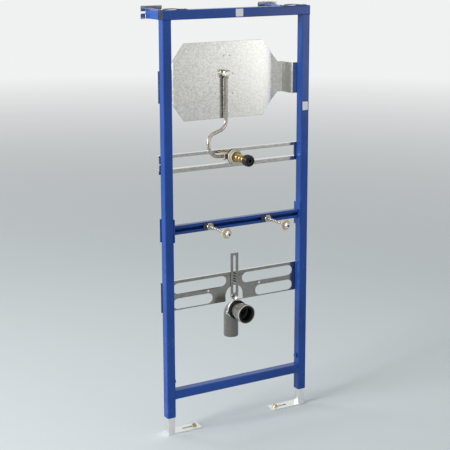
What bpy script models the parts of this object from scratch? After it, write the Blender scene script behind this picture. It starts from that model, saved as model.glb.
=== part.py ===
"""Urinal installation frame: two uprights and two rails of square steel tube, telescopic feet,
wall arms, and sheet brackets that carry the valve, the water inlet, the bowl bolts and the waste
elbow. X runs to the right, Y back to the wall, Z up. Lengths are in metres."""

import math

import bmesh
import bpy
from mathutils import Vector

# Frame of square tube. Drops are measured down from the top of the frame.
FRAME_WIDTH = 0.540
FRAME_HEIGHT = 1.321
TUBE_SIDE = 0.030
TUBE_WALL = 0.0015
TUBE_CORNER = 0.0030
BOTTOM_RAIL_RISE = 0.062
FIT_GAP = 0.0003
WELD_DISTANCE = 0.000001
CUT_OVERRUN = 0.004

# Facets of round stretches.
CORNER_STEPS = 3
SLOT_STEPS = 8
ROUND_STEPS = 32
SMALL_ROUND_STEPS = 20
BEND_STEPS = 8
HEX_SIDES = 6
PIPE_BEVEL_STEPS = 3

# Wall arms on the back of the top rail, with the screwed clips that lie on the rail.
ARM_LENGTH = 0.085
RIGHT_ARM_INSET = 0.070
CLIP_LENGTH = 0.090
CLIP_WIDTH = 0.022
CLIP_THICKNESS = 0.0020
CLIP_HUMP = 0.0025
CLIP_HUMP_LENGTH = 0.050
CLIP_HUMP_START = 0.012

# Galvanised wall brackets, forked for the wall screws.
BRACKET_WIDTH = 0.074
BRACKET_HEIGHT = 0.041
BRACKET_THICKNESS = 0.003
BRACKET_RISE = 0.009
BRACKET_OUTER_REACH = 0.016
FORK_SLOT_HEIGHT = 0.0065
FORK_SLOT_LENGTH = 0.022

# Sheet brackets lie behind the uprights and reach a little past their outer sides.
HOOK_REACH = 0.003

# Valve plate: folded sheet, an octagon set back from the uprights.
SHEET = 0.0020
VALVE_CENTRE_DROP = 0.237
VALVE_STRAP_HEIGHT = 0.101
VALVE_HEIGHT = 0.250
VALVE_FOLD_HEIGHT = 0.152
VALVE_FLANGE_REACH = 0.046
VALVE_BEND_RUN = 0.006
VALVE_BEND_DEPTH = 0.010
VALVE_SIDE_DEPTH = 0.054
VALVE_CHAMFER_END = 0.067
VALVE_FOLD_INSET = 0.086
VALVE_SET_BACK = 0.065
VALVE_TOP_INSET = 0.122

# Flush pipe, its union nut on the valve plate and its nut on the inlet.
PIPE_DIAMETER = 0.012
PIPE_CLEARANCE = 0.0003
UNION_NUT_WIDTH = 0.022
UNION_NUT_HEIGHT = 0.014
UNION_DROP = 0.207
FERRULE_DIAMETER = 0.018
FERRULE_TAPER_DIAMETER = 0.015
FERRULE_HEIGHT = 0.010
PIPE_STRAIGHT_DROP = 0.392
PIPE_SWING = 0.078
PIPE_SWING_DROP = 0.412
PIPE_SWING_DEPTH_SHARE = 0.6
PIPE_BEND_RADIUS = 0.034
INLET_NUT_WIDTH = 0.022
INLET_NUT_LENGTH = 0.013
INLET_SET_BACK = 0.022

# Water inlet: two rails on hooked ends, a guide disc, a brass body and its plug.
UPPER_RAIL_DROP = 0.453
UPPER_RAIL_HEIGHT = 0.010
UPPER_RAIL_DEPTH = 0.014
LOWER_RAIL_DROP = 0.500
LOWER_RAIL_HEIGHT = 0.013
LOWER_RAIL_DEPTH = 0.022
RAIL_END_DROP = 0.458
RAIL_END_HEIGHT = 0.044
RAIL_END_REACH = 0.008
RAIL_END_SLIT = 0.003
RAIL_END_SLIT_LENGTH = 0.020
RAIL_END_THICKNESS = 0.003
INLET_DROP = 0.479
SEAL_RING_DIAMETER = 0.050
SEAL_RING_THICKNESS = 0.003
GUIDE_DISC_DIAMETER = 0.048
GUIDE_STEP_DIAMETER = 0.038
GUIDE_DISC_THICKNESS = 0.008
GUIDE_STEP_HEIGHT = 0.006
STUB_DIAMETER = 0.026
STUB_ROOT_DIAMETER = 0.023
STUB_LENGTH = 0.062
STUB_BORE = 0.016
STUB_COLLAR_DIAMETER = 0.030
THREAD_PITCH = 0.003
PLUG_DIAMETER = 0.038
PLUG_RIM_DIAMETER = 0.034
PLUG_LENGTH = 0.024
PLUG_HOLE = 0.010
PLUG_HOLE_DEPTH = 0.012
PLUG_STEP_DIAMETER = 0.022
PLUG_STEP_DEPTH = 0.002

# Fixing rail for the bowl: a C channel on two angled ends, with a pair of bolts.
CHANNEL_DROP = 0.678
CHANNEL_HEIGHT = 0.029
CHANNEL_DEPTH = 0.018
CHANNEL_SET_BACK = 0.006
CHANNEL_WALL = 0.002
CHANNEL_GROOVE = 0.011
CHANNEL_END_RISE = 0.023
CHANNEL_END_HEIGHT = 0.076
CHANNEL_END_LEAF = 0.035
CHANNEL_END_THICKNESS = 0.003
BOWL_BOLT_SPACING = 0.220
BOWL_BOLT_DIAMETER = 0.008
BOWL_BOLT_REACH = 0.118
SLIDE_PLATE_LENGTH = 0.034
SLIDE_PLATE_HEIGHT = 0.022
SLIDE_PLATE_THICKNESS = 0.004
BOLT_NUT_WIDTH = 0.022
BOLT_NUT_THICKNESS = 0.009
BOLT_WASHER_LENGTH = 0.036
BOLT_WASHER_HEIGHT = 0.025
BOLT_WASHER_THICKNESS = 0.002
COLLAR_FLANGE_DIAMETER = 0.035
COLLAR_FLANGE_THICKNESS = 0.003
COLLAR_SLEEVE_DIAMETER = 0.016
COLLAR_SLEEVE_LENGTH = 0.012
CAP_NUT_WIDTH = 0.019
CAP_NUT_THICKNESS = 0.008
CAP_NECK_DIAMETER = 0.013
CAP_NECK_LENGTH = 0.008
CAP_SHOULDER = 0.0015

# Drain plate: slotted sheet with a turned top edge and an arch for the waste.
DRAIN_PLATE_DROP = 0.866
DRAIN_PLATE_HEIGHT = 0.100
DRAIN_FLANGE_DEPTH = 0.010
DRAIN_SLOT_HEIGHT = 0.035
DRAIN_UPPER_SLOT_DROP = 0.876
DRAIN_LOWER_SLOT_DROP = 0.927
DRAIN_SLOT_OUTER_INSET = 0.041
DRAIN_UPPER_SLOT_REST = 0.030
DRAIN_LOWER_SLOT_REST = 0.082
DRAIN_HOLE_DIAMETER = 0.008
DRAIN_HOLE_REST = 0.098
DRAIN_HOLE_DROP = 0.919
ARCH_WIDTH = 0.067
ARCH_HEIGHT = 0.053

# Slotted hanger strap with a turned foot, and the pipe clamp that is bolted to it.
STRAP_WIDTH = 0.029
STRAP_DROP = 0.803
STRAP_SLOT_WIDTH = 0.010
STRAP_UPPER_SLOT_DROP = 0.811
STRAP_UPPER_SLOT_LENGTH = 0.055
STRAP_LOWER_SLOT_DROP = 0.908
STRAP_LOWER_SLOT_LENGTH = 0.032
STRAP_FOOT_DEPTH = 0.026
CLAMP_BOLT_DIAMETER = 0.008
CLAMP_BOLT_HEAD = 0.013
CLAMP_BOLT_HEAD_HEIGHT = 0.0055
CLAMP_NUT_WIDTH = 0.016
CLAMP_NUT_HEIGHT = 0.005
CLAMP_WIDTH = 0.018
CLAMP_THICKNESS = 0.002
RUBBER_THICKNESS = 0.005
RUBBER_LIP = 0.0015

# Waste elbow with its wide front socket.
WASTE_DROP = 0.994
SOCKET_DIAMETER = 0.064
SOCKET_BORE = 0.056
SOCKET_FRONT_REACH = 0.050
SOCKET_DEPTH = 0.042
SOCKET_LIP_DIAMETER = 0.061
SOCKET_LIP_DEPTH = 0.012
SOCKET_SHOULDER = 0.005
WASTE_DIAMETER = 0.050
WASTE_BORE = 0.046
LEG_SET_BACK = 0.052
ELBOW_RADIUS = 0.030
LEG_DROP = 1.094
LIP_SEAL_WIDTH = 0.005
LIP_SEAL_DEPTH = 0.010

# Telescopic feet.
FOOT_SIDE = 0.026
FOOT_WALL = 0.002
FOOT_CORNER = 0.0025
FOOT_EXPOSED = 0.059
FOOT_INSERTED = 0.220
SOLE_LENGTH = 0.128
SOLE_DEPTH = 0.043
SOLE_THICKNESS = 0.004
SOLE_SLOT_WIDTH = 0.010
SOLE_SLOT_LENGTH = 0.055
SOLE_SLOT_INSET = 0.010
FLOOR_BOLT_DIAMETER = 0.008
FLOOR_BOLT_HEAD = 0.013
FLOOR_BOLT_HEAD_HEIGHT = 0.0055
FLOOR_WASHER_DIAMETER = 0.018
FLOOR_WASHER_THICKNESS = 0.0016
FOOT_CLAMP_RISE = 0.121
FOOT_CLAMP_HEAD = 0.013
FOOT_CLAMP_HEAD_HEIGHT = 0.0055

# Turns that set a flat outline up in the frame.
FACING_FRONT = (math.pi / 2, 0, 0)
ALONG_X = (math.pi / 2, 0, math.pi / 2)
UPRIGHT = (0, 0, 0)

# Places that follow from the sizes above.
CENTRE_X = FRAME_WIDTH / 2
INNER_WIDTH = FRAME_WIDTH - TUBE_SIDE - TUBE_SIDE
BACK_Y = TUBE_SIDE + FIT_GAP
ARM_MIDDLE_DROP = TUBE_SIDE / 2
RIGHT_ARM_X = FRAME_WIDTH - RIGHT_ARM_INSET - TUBE_SIDE / 2
LEFT_ARM_X = TUBE_SIDE / 2
ARM_END_Y = BACK_Y + ARM_LENGTH
BRACKET_MIDDLE_DROP = BRACKET_HEIGHT / 2 - BRACKET_RISE
WALL_Y = ARM_END_Y + FIT_GAP + BRACKET_THICKNESS
VALVE_FRONT_Y = BACK_Y + VALVE_SET_BACK
UNION_Y = VALVE_FRONT_Y - FIT_GAP - UNION_NUT_WIDTH / math.sqrt(3)
RAIL_FRONT_Y = BACK_Y + RAIL_END_THICKNESS + FIT_GAP
INLET_Y = RAIL_FRONT_Y + INLET_SET_BACK
BEND_Y = LEG_SET_BACK - ELBOW_RADIUS
CLAMP_RADIUS = WASTE_DIAMETER / 2 + FIT_GAP + RUBBER_THICKNESS + FIT_GAP + CLAMP_THICKNESS
STRAP_FOOT_DROP = WASTE_DROP - CLAMP_RADIUS - FIT_GAP - CLAMP_NUT_HEIGHT - FIT_GAP - SHEET
BOWL_BOLT_DROP = CHANNEL_DROP + CHANNEL_HEIGHT / 2
BOTTOM_RAIL_DROP = FRAME_HEIGHT - BOTTOM_RAIL_RISE - TUBE_SIDE
FOOT_CLAMP_DROP = FRAME_HEIGHT - FOOT_CLAMP_RISE
CHANNEL_END_DROP = CHANNEL_DROP - CHANNEL_END_RISE
BOLT_XS = (CENTRE_X - BOWL_BOLT_SPACING / 2, CENTRE_X + BOWL_BOLT_SPACING / 2)

FINISHES = {
    "blue_paint": ((0.045, 0.105, 0.42, 1), 0.35, 0.0),
    "galvanised": ((0.62, 0.63, 0.60, 1), 0.38, 1.0),
    "dark_steel": ((0.10, 0.10, 0.12, 1), 0.45, 1.0),
    "nickel": ((0.66, 0.62, 0.55, 1), 0.22, 1.0),
    "chrome": ((0.80, 0.80, 0.80, 1), 0.10, 1.0),
    "brass": ((0.60, 0.42, 0.16, 1), 0.30, 1.0),
    "black_plastic": ((0.025, 0.025, 0.027, 1), 0.45, 0.0),
    "cream_plastic": ((0.72, 0.70, 0.62, 1), 0.45, 0.0),
    "grey_plastic": ((0.17, 0.165, 0.155, 1), 0.40, 0.0),
    "black_rubber": ((0.02, 0.02, 0.02, 1), 0.75, 0.0),
}


def clear_scene():
    for item in list(bpy.data.objects):
        bpy.data.objects.remove(item, do_unlink=True)


def material(finish):
    found = bpy.data.materials.get(finish)
    if found:
        return found
    colour, roughness, metallic = FINISHES[finish]
    made = bpy.data.materials.new(finish)
    made.use_nodes = True
    shader = made.node_tree.nodes["Principled BSDF"]
    shader.inputs["Base Color"].default_value = colour
    shader.inputs["Roughness"].default_value = roughness
    shader.inputs["Metallic"].default_value = metallic
    made.diffuse_color = colour
    return made


def place(name, data, finish, location, rotation=UPRIGHT, parent=None):
    made = bpy.data.objects.new(name, data)
    data.materials.append(material(finish))
    made.location = location
    made.rotation_euler = rotation
    made.parent = parent or bpy.data.objects["frame_origin"]
    bpy.context.scene.collection.objects.link(made)
    return made


def empty(name, location, parent=None):
    made = bpy.data.objects.new(name, None)
    made.location = location
    made.parent = parent
    bpy.context.scene.collection.objects.link(made)
    return made


def arc(centre, radius, start, sweep, steps):
    """Points along an arc, both ends included."""
    turns = [start + sweep * step / steps for step in range(steps + 1)]
    return [(centre[0] + radius * math.cos(t), centre[1] + radius * math.sin(t)) for t in turns]


def circle(centre, diameter, steps=SMALL_ROUND_STEPS):
    return arc(centre, diameter / 2, 0, math.tau, steps)[:-1]


def rectangle(left, low, right, high):
    return [(left, low), (right, low), (right, high), (left, high)]


def rounded_square(side, corner):
    """A square round the origin with rounded corners."""
    reach = side / 2 - corner
    points = []
    for turn, (x, y) in enumerate(rectangle(-reach, -reach, reach, reach)):
        points += arc((x, y), corner, math.pi + turn * math.pi / 2, math.pi / 2, CORNER_STEPS)
    return points


def slot_along_x(left, right, middle, width):
    """A slot with round ends, from its left tip to its right tip."""
    radius = width / 2
    right_end = arc((right - radius, middle), radius, -math.pi / 2, math.pi, SLOT_STEPS)
    left_end = arc((left + radius, middle), radius, math.pi / 2, math.pi, SLOT_STEPS)
    return right_end + left_end


def slot_along_y(low, high, middle, width):
    return [(middle - y, x) for x, y in slot_along_x(low, high, 0, width)]


def mirrored(points, middle):
    """An outline reflected left to right, turned the same way round."""
    return [(middle + middle - x, y) for x, y in reversed(points)]


def hexagon(width):
    """A hexagon by its width across flats."""
    return circle((0, 0), 2 * width / math.sqrt(3), HEX_SIDES)


def plate(name, outlines, thickness, finish, location, rotation=FACING_FRONT, parent=None):
    """A flat piece of even thickness round its own plane; outlines after the first are holes."""
    data = bpy.data.curves.new(name, "CURVE")
    data.dimensions = "2D"
    data.fill_mode = "BOTH"
    data.extrude = thickness / 2
    for outline in outlines:
        spline = data.splines.new("POLY")
        spline.points.add(len(outline) - 1)
        for point, (x, y) in zip(spline.points, outline):
            point.co = (x, y, 0, 1)
        spline.use_cyclic_u = True
    return place(name, data, finish, location, rotation, parent)


def turned(name, profile, finish, location, rotation=FACING_FRONT, parent=None, steps=ROUND_STEPS):
    """A turned piece: (radius, height) points spun round its own Z."""
    mesh = bmesh.new()
    ring = [mesh.verts.new((radius, 0, height)) for radius, height in profile]
    last = ring[:1] if profile[0][0] > 0 else []
    edges = [mesh.edges.new(pair) for pair in zip(ring, ring[1:] + last)]
    bmesh.ops.spin(mesh, geom=ring + edges, axis=(0, 0, 1), angle=math.tau, steps=steps, use_merge=True)
    bmesh.ops.remove_doubles(mesh, verts=mesh.verts, dist=WELD_DISTANCE)
    bmesh.ops.dissolve_degenerate(mesh, edges=mesh.edges, dist=WELD_DISTANCE)
    bmesh.ops.recalc_face_normals(mesh, faces=mesh.faces)
    data = bpy.data.meshes.new(name)
    mesh.to_mesh(data)
    mesh.free()
    return place(name, data, finish, location, rotation, parent)


def thicken(item, thickness):
    """Gives an open sheet its thickness, on the side away from its normals."""
    solid = item.modifiers.new("sheet", "SOLIDIFY")
    solid.thickness = thickness
    solid.offset = -1
    solid.use_even_offset = True
    return item


def drill(item, diameter, depth, location, rotation=UPRIGHT):
    """Cuts a round hole through an item, along the turned Z at the location."""
    mesh = bmesh.new()
    bmesh.ops.create_cone(
        mesh,
        cap_ends=True,
        segments=SMALL_ROUND_STEPS,
        radius1=diameter / 2,
        radius2=diameter / 2,
        depth=depth + CUT_OVERRUN,
    )
    data = bpy.data.meshes.new("drill")
    mesh.to_mesh(data)
    mesh.free()
    cutter = place("drill", data, "dark_steel", location, rotation)
    cutter.hide_render = True
    cutter.display_type = "WIRE"
    cut = item.modifiers.new("drill", "BOOLEAN")
    cut.operation = "DIFFERENCE"
    cut.solver = "EXACT"
    cut.object = cutter


def folded_sheet(name, stations, thickness, finish, location):
    """A strip folded along upright lines: each station is (x, y, half height)."""
    mesh = bmesh.new()
    columns = [[mesh.verts.new((x, y, z)) for z in (-half, half)] for x, y, half in stations]
    for (low, high), (next_low, next_high) in zip(columns, columns[1:]):
        mesh.faces.new((low, next_low, next_high, high))
    data = bpy.data.meshes.new(name)
    mesh.to_mesh(data)
    mesh.free()
    return thicken(place(name, data, finish, location), thickness)


def round_corners(points, radius):
    """A route through the points with each inner corner replaced by an arc."""
    route = [points[0]]
    for before, corner, after in zip(points, points[1:], points[2:]):
        back, ahead = (before - corner).normalized(), (after - corner).normalized()
        half_angle = back.angle(ahead) / 2
        bisector = (back + ahead).normalized()
        centre = corner + bisector * (radius / math.sin(half_angle))
        first = (corner + back * (radius / math.tan(half_angle)) - centre).normalized()
        final = (corner + ahead * (radius / math.tan(half_angle)) - centre).normalized()
        for step in range(BEND_STEPS + 1):
            route.append(centre + first.slerp(final, step / BEND_STEPS) * radius)
    return route + [points[-1]]


def rod_along(name, route, diameter, finish):
    """A round rod or pipe along a route."""
    data = bpy.data.curves.new(name, "CURVE")
    data.dimensions = "3D"
    data.bevel_depth = diameter / 2
    data.bevel_resolution = PIPE_BEVEL_STEPS
    data.use_fill_caps = True
    spline = data.splines.new("POLY")
    spline.points.add(len(route) - 1)
    for point, place_on_route in zip(spline.points, route):
        point.co = (*place_on_route, 1)
    return place(name, data, finish, (0, 0, 0))


def square_tube(name, side, wall, corner, length, finish, location, rotation, parent=None):
    outlines = [rounded_square(side, corner), rounded_square(side - wall - wall, corner - wall)]
    return plate(name, outlines, length, finish, location, rotation, parent)


def build_frame_tubes():
    side = (TUBE_SIDE, TUBE_WALL, TUBE_CORNER)
    middle = TUBE_SIDE / 2
    top = (CENTRE_X, middle, -middle)
    square_tube("top_rail", *side, FRAME_WIDTH, "blue_paint", top, ALONG_X)
    length = FRAME_HEIGHT - TUBE_SIDE - FIT_GAP
    for name, x in (("upright_left", middle), ("upright_right", FRAME_WIDTH - middle)):
        spot = (x, middle, -FRAME_HEIGHT + length / 2)
        square_tube(name, *side, length, "blue_paint", spot, UPRIGHT)
    bottom = (CENTRE_X, middle, -BOTTOM_RAIL_DROP - middle)
    square_tube("bottom_rail", *side, INNER_WIDTH - FIT_GAP - FIT_GAP, "blue_paint", bottom, ALONG_X)


def build_wall_arm(label, x):
    """A square arm on the back of the top rail."""
    middle = (x, BACK_Y + ARM_LENGTH / 2, -ARM_MIDDLE_DROP)
    side = (TUBE_SIDE, TUBE_WALL, TUBE_CORNER)
    square_tube("wall_arm_" + label, *side, ARM_LENGTH, "blue_paint", middle, FACING_FRONT)


def bracket_outline(outward):
    """The wall bracket's forked plate round the arm's middle."""
    outer = TUBE_SIDE / 2 + BRACKET_OUTER_REACH
    inner = BRACKET_WIDTH - outer
    half, slot = BRACKET_HEIGHT / 2, FORK_SLOT_HEIGHT / 2
    rise = -BRACKET_MIDDLE_DROP + ARM_MIDDLE_DROP
    tip_out = arc((-outer + FORK_SLOT_LENGTH - slot, rise), slot, -math.pi / 2, math.pi, SLOT_STEPS)
    points = [(-outer, rise - half), (inner, rise - half), (inner, rise + half), (-outer, rise + half)]
    points += [(-outer, rise + slot)] + tip_out[::-1] + [(-outer, rise - slot)]
    return points if outward < 0 else mirrored(points, 0)


def build_wall_bracket(label, x, outward):
    """The forked plate across an arm's end; outward is -1 where its fork opens to the left."""
    name = "wall_bracket_" + label
    spot = (x, ARM_END_Y + FIT_GAP + BRACKET_THICKNESS / 2, -ARM_MIDDLE_DROP)
    plate(name, [bracket_outline(outward)], BRACKET_THICKNESS, "galvanised", spot)


def build_clip(label, x):
    """The low bent clip on top of the rail beside an arm."""
    left = x - TUBE_SIDE / 2
    hump = arc((0, 0), CLIP_HUMP, 0, math.pi, SLOT_STEPS)
    lower = [(0, 0), (CLIP_HUMP_START, 0)]
    stretch = CLIP_HUMP_LENGTH / CLIP_HUMP / 2
    lower += [(CLIP_HUMP_START + (CLIP_HUMP - px) * stretch, py) for px, py in hump[1:-1]]
    lower += [(CLIP_HUMP_START + CLIP_HUMP_LENGTH, 0), (CLIP_LENGTH, 0)]
    upper = [(px, py + CLIP_THICKNESS) for px, py in reversed(lower)]
    spot = (left, TUBE_SIDE / 2, FIT_GAP)
    plate("arm_clip_" + label, [lower + upper], CLIP_WIDTH, "dark_steel", spot)


def build_wall_arms():
    for label, x, outward in (("left", LEFT_ARM_X, -1), ("right", RIGHT_ARM_X, 1)):
        build_wall_arm(label, x)
        build_wall_bracket(label, x, outward)
        build_clip(label, x)


def build_valve_plate():
    strap, fold, tall = VALVE_STRAP_HEIGHT / 2, VALVE_FOLD_HEIGHT / 2, VALVE_HEIGHT / 2
    side_x = VALVE_FLANGE_REACH + VALVE_BEND_RUN
    half = [
        (-HOOK_REACH, 0, strap),
        (VALVE_FLANGE_REACH, 0, strap),
        (side_x, VALVE_BEND_DEPTH, strap),
        (side_x, VALVE_SIDE_DEPTH, strap),
        (VALVE_CHAMFER_END, (VALVE_SIDE_DEPTH + VALVE_SET_BACK) / 2, strap),
        (VALVE_FOLD_INSET, VALVE_SET_BACK, fold),
        (VALVE_TOP_INSET, VALVE_SET_BACK, tall),
    ]
    stations = half + [(FRAME_WIDTH - x, y, h) for x, y, h in reversed(half)]
    folded_sheet("valve_plate", stations, SHEET, "galvanised", (0, BACK_Y, -VALVE_CENTRE_DROP))


def build_flush_pipe():
    hole = PIPE_DIAMETER + PIPE_CLEARANCE + PIPE_CLEARANCE
    nut_spot = (CENTRE_X, UNION_Y, -UNION_DROP - UNION_NUT_HEIGHT / 2)
    nut = [hexagon(UNION_NUT_WIDTH), circle((0, 0), hole)]
    plate("union_nut", nut, UNION_NUT_HEIGHT, "nickel", nut_spot, UPRIGHT)
    ferrule_top = UNION_DROP + UNION_NUT_HEIGHT + FIT_GAP
    ferrule = [
        (hole / 2, 0),
        (FERRULE_DIAMETER / 2, 0),
        (FERRULE_TAPER_DIAMETER / 2, -FERRULE_HEIGHT),
        (hole / 2, -FERRULE_HEIGHT),
    ]
    spot = (CENTRE_X, UNION_Y, -ferrule_top)
    turned("pipe_ferrule", ferrule, "nickel", spot, UPRIGHT, steps=SMALL_ROUND_STEPS)
    swing_y = UNION_Y + (INLET_Y - UNION_Y) * PIPE_SWING_DEPTH_SHARE
    nut_x = CENTRE_X - STUB_COLLAR_DIAMETER / 2 - FIT_GAP - INLET_NUT_LENGTH / 2
    corners = [
        Vector((CENTRE_X, UNION_Y, -UNION_DROP - UNION_NUT_HEIGHT / 2)),
        Vector((CENTRE_X, UNION_Y, -PIPE_STRAIGHT_DROP)),
        Vector((CENTRE_X - PIPE_SWING, swing_y, -PIPE_SWING_DROP)),
        Vector((CENTRE_X - PIPE_SWING, INLET_Y, -INLET_DROP)),
        Vector((nut_x, INLET_Y, -INLET_DROP)),
    ]
    rod_along("flush_pipe", round_corners(corners, PIPE_BEND_RADIUS), PIPE_DIAMETER, "nickel")
    inlet_nut = [hexagon(INLET_NUT_WIDTH), circle((0, 0), hole)]
    spot = (nut_x, INLET_Y, -INLET_DROP)
    plate("inlet_nut", inlet_nut, INLET_NUT_LENGTH, "nickel", spot, ALONG_X)


def angle_profile(height, depth, wall):
    """An angle section: its face is at zero depth, and its flange runs back from the top."""
    return [(0, 0), (wall, 0), (wall, height - wall), (depth, height - wall), (depth, height), (0, height)]


def build_inlet_rails():
    length = FRAME_WIDTH + HOOK_REACH + HOOK_REACH
    upper = angle_profile(UPPER_RAIL_HEIGHT, UPPER_RAIL_DEPTH, SHEET)
    spot = (CENTRE_X, RAIL_FRONT_Y, -UPPER_RAIL_DROP - UPPER_RAIL_HEIGHT)
    plate("inlet_rail_upper", [upper], length, "galvanised", spot, ALONG_X)
    lower = angle_profile(LOWER_RAIL_HEIGHT, LOWER_RAIL_DEPTH, SHEET)
    spot = (CENTRE_X, RAIL_FRONT_Y, -LOWER_RAIL_DROP - LOWER_RAIL_HEIGHT)
    plate("inlet_rail_lower", [lower], length, "galvanised", spot, ALONG_X)
    left = -HOOK_REACH
    right = TUBE_SIDE + RAIL_END_REACH
    slit_low = (RAIL_END_HEIGHT - RAIL_END_SLIT) / 2
    slit_high = slit_low + RAIL_END_SLIT
    slit_end = left + RAIL_END_SLIT_LENGTH
    end = rectangle(left, 0, right, RAIL_END_HEIGHT)
    end += [(left, slit_high), (slit_end, slit_high), (slit_end, slit_low), (left, slit_low)]
    bottom = -RAIL_END_DROP - RAIL_END_HEIGHT
    spot = (0, BACK_Y + RAIL_END_THICKNESS / 2, bottom)
    plate("inlet_rail_end_left", [end], RAIL_END_THICKNESS, "galvanised", spot)
    end = mirrored(end, CENTRE_X)
    plate("inlet_rail_end_right", [end], RAIL_END_THICKNESS, "galvanised", spot)


def thread_profile(root, crest, start, length, pitch):
    """Rings that stand for a coarse thread, as (radius, height) points."""
    points = []
    for turn in range(int(length / pitch)):
        low = start + turn * pitch
        points += [(root / 2, low), (crest / 2, low + pitch / 2)]
    return points + [(root / 2, start + length)]


def build_water_inlet():
    axis = (CENTRE_X, 0, -INLET_DROP)
    seat = -RAIL_FRONT_Y + FIT_GAP
    hole = STUB_COLLAR_DIAMETER / 2 + FIT_GAP
    ring = [
        (hole, seat),
        (SEAL_RING_DIAMETER / 2, seat),
        (SEAL_RING_DIAMETER / 2, seat + SEAL_RING_THICKNESS),
        (hole, seat + SEAL_RING_THICKNESS),
    ]
    turned("inlet_seal_ring", ring, "black_rubber", axis)
    disc_back = seat + SEAL_RING_THICKNESS + FIT_GAP
    disc_step = disc_back + GUIDE_DISC_THICKNESS
    disc_front = disc_step + GUIDE_STEP_HEIGHT
    disc = [
        (hole, disc_back),
        (GUIDE_DISC_DIAMETER / 2, disc_back),
        (GUIDE_DISC_DIAMETER / 2, disc_step),
        (GUIDE_STEP_DIAMETER / 2, disc_step),
        (GUIDE_STEP_DIAMETER / 2, disc_front),
        (hole, disc_front),
    ]
    turned("inlet_guide_disc", disc, "cream_plastic", axis)
    stub_front = disc_front + STUB_LENGTH
    collar = STUB_COLLAR_DIAMETER / 2
    body_back = -INLET_Y - collar
    body = [(0, body_back), (collar, body_back), (collar, disc_front)]
    body += thread_profile(STUB_ROOT_DIAMETER, STUB_DIAMETER, disc_front, STUB_LENGTH, THREAD_PITCH)
    body += [(STUB_BORE / 2, stub_front), (STUB_BORE / 2, disc_front), (0, disc_front)]
    turned("inlet_body", body, "brass", axis)
    plug_back = stub_front + FIT_GAP
    plug_front = plug_back + PLUG_LENGTH
    plug = [
        (0, plug_back),
        (PLUG_DIAMETER / 2, plug_back),
        (PLUG_DIAMETER / 2, plug_front - PLUG_STEP_DEPTH),
        (PLUG_RIM_DIAMETER / 2, plug_front),
        (PLUG_STEP_DIAMETER / 2, plug_front),
        (PLUG_STEP_DIAMETER / 2, plug_front - PLUG_STEP_DEPTH),
        (PLUG_HOLE / 2, plug_front - PLUG_STEP_DEPTH),
        (PLUG_HOLE / 2, plug_front - PLUG_HOLE_DEPTH),
        (0, plug_front - PLUG_HOLE_DEPTH),
    ]
    turned("inlet_plug", plug, "black_plastic", axis)


def build_fixing_rail():
    wall, depth, height = CHANNEL_WALL, CHANNEL_DEPTH, CHANNEL_HEIGHT
    lip = (height - CHANNEL_GROOVE) / 2
    section = [(0, 0), (depth, 0), (depth, height), (0, height), (0, height - lip), (wall, height - lip)]
    section += [(wall, height - wall), (depth - wall, height - wall), (depth - wall, wall)]
    section += [(wall, wall), (wall, lip), (0, lip)]
    leaf = CHANNEL_END_THICKNESS + FIT_GAP + FIT_GAP
    length = INNER_WIDTH - leaf - leaf
    spot = (CENTRE_X, CHANNEL_SET_BACK, -CHANNEL_DROP - height)
    plate("fixing_rail", [section], length, "blue_paint", spot, ALONG_X)
    thick = CHANNEL_END_THICKNESS
    inner = TUBE_SIDE + FIT_GAP
    front = BACK_Y + thick - CHANNEL_END_LEAF
    end = [(-HOOK_REACH, BACK_Y), (inner, BACK_Y), (inner, front), (inner + thick, front)]
    end += [(inner + thick, BACK_Y + thick), (-HOOK_REACH, BACK_Y + thick)]
    spot = (0, 0, -CHANNEL_END_DROP - CHANNEL_END_HEIGHT / 2)
    plate("fixing_rail_end_left", [end], CHANNEL_END_HEIGHT, "blue_paint", spot, UPRIGHT)
    end = mirrored(end, CENTRE_X)
    plate("fixing_rail_end_right", [end], CHANNEL_END_HEIGHT, "blue_paint", spot, UPRIGHT)


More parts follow.
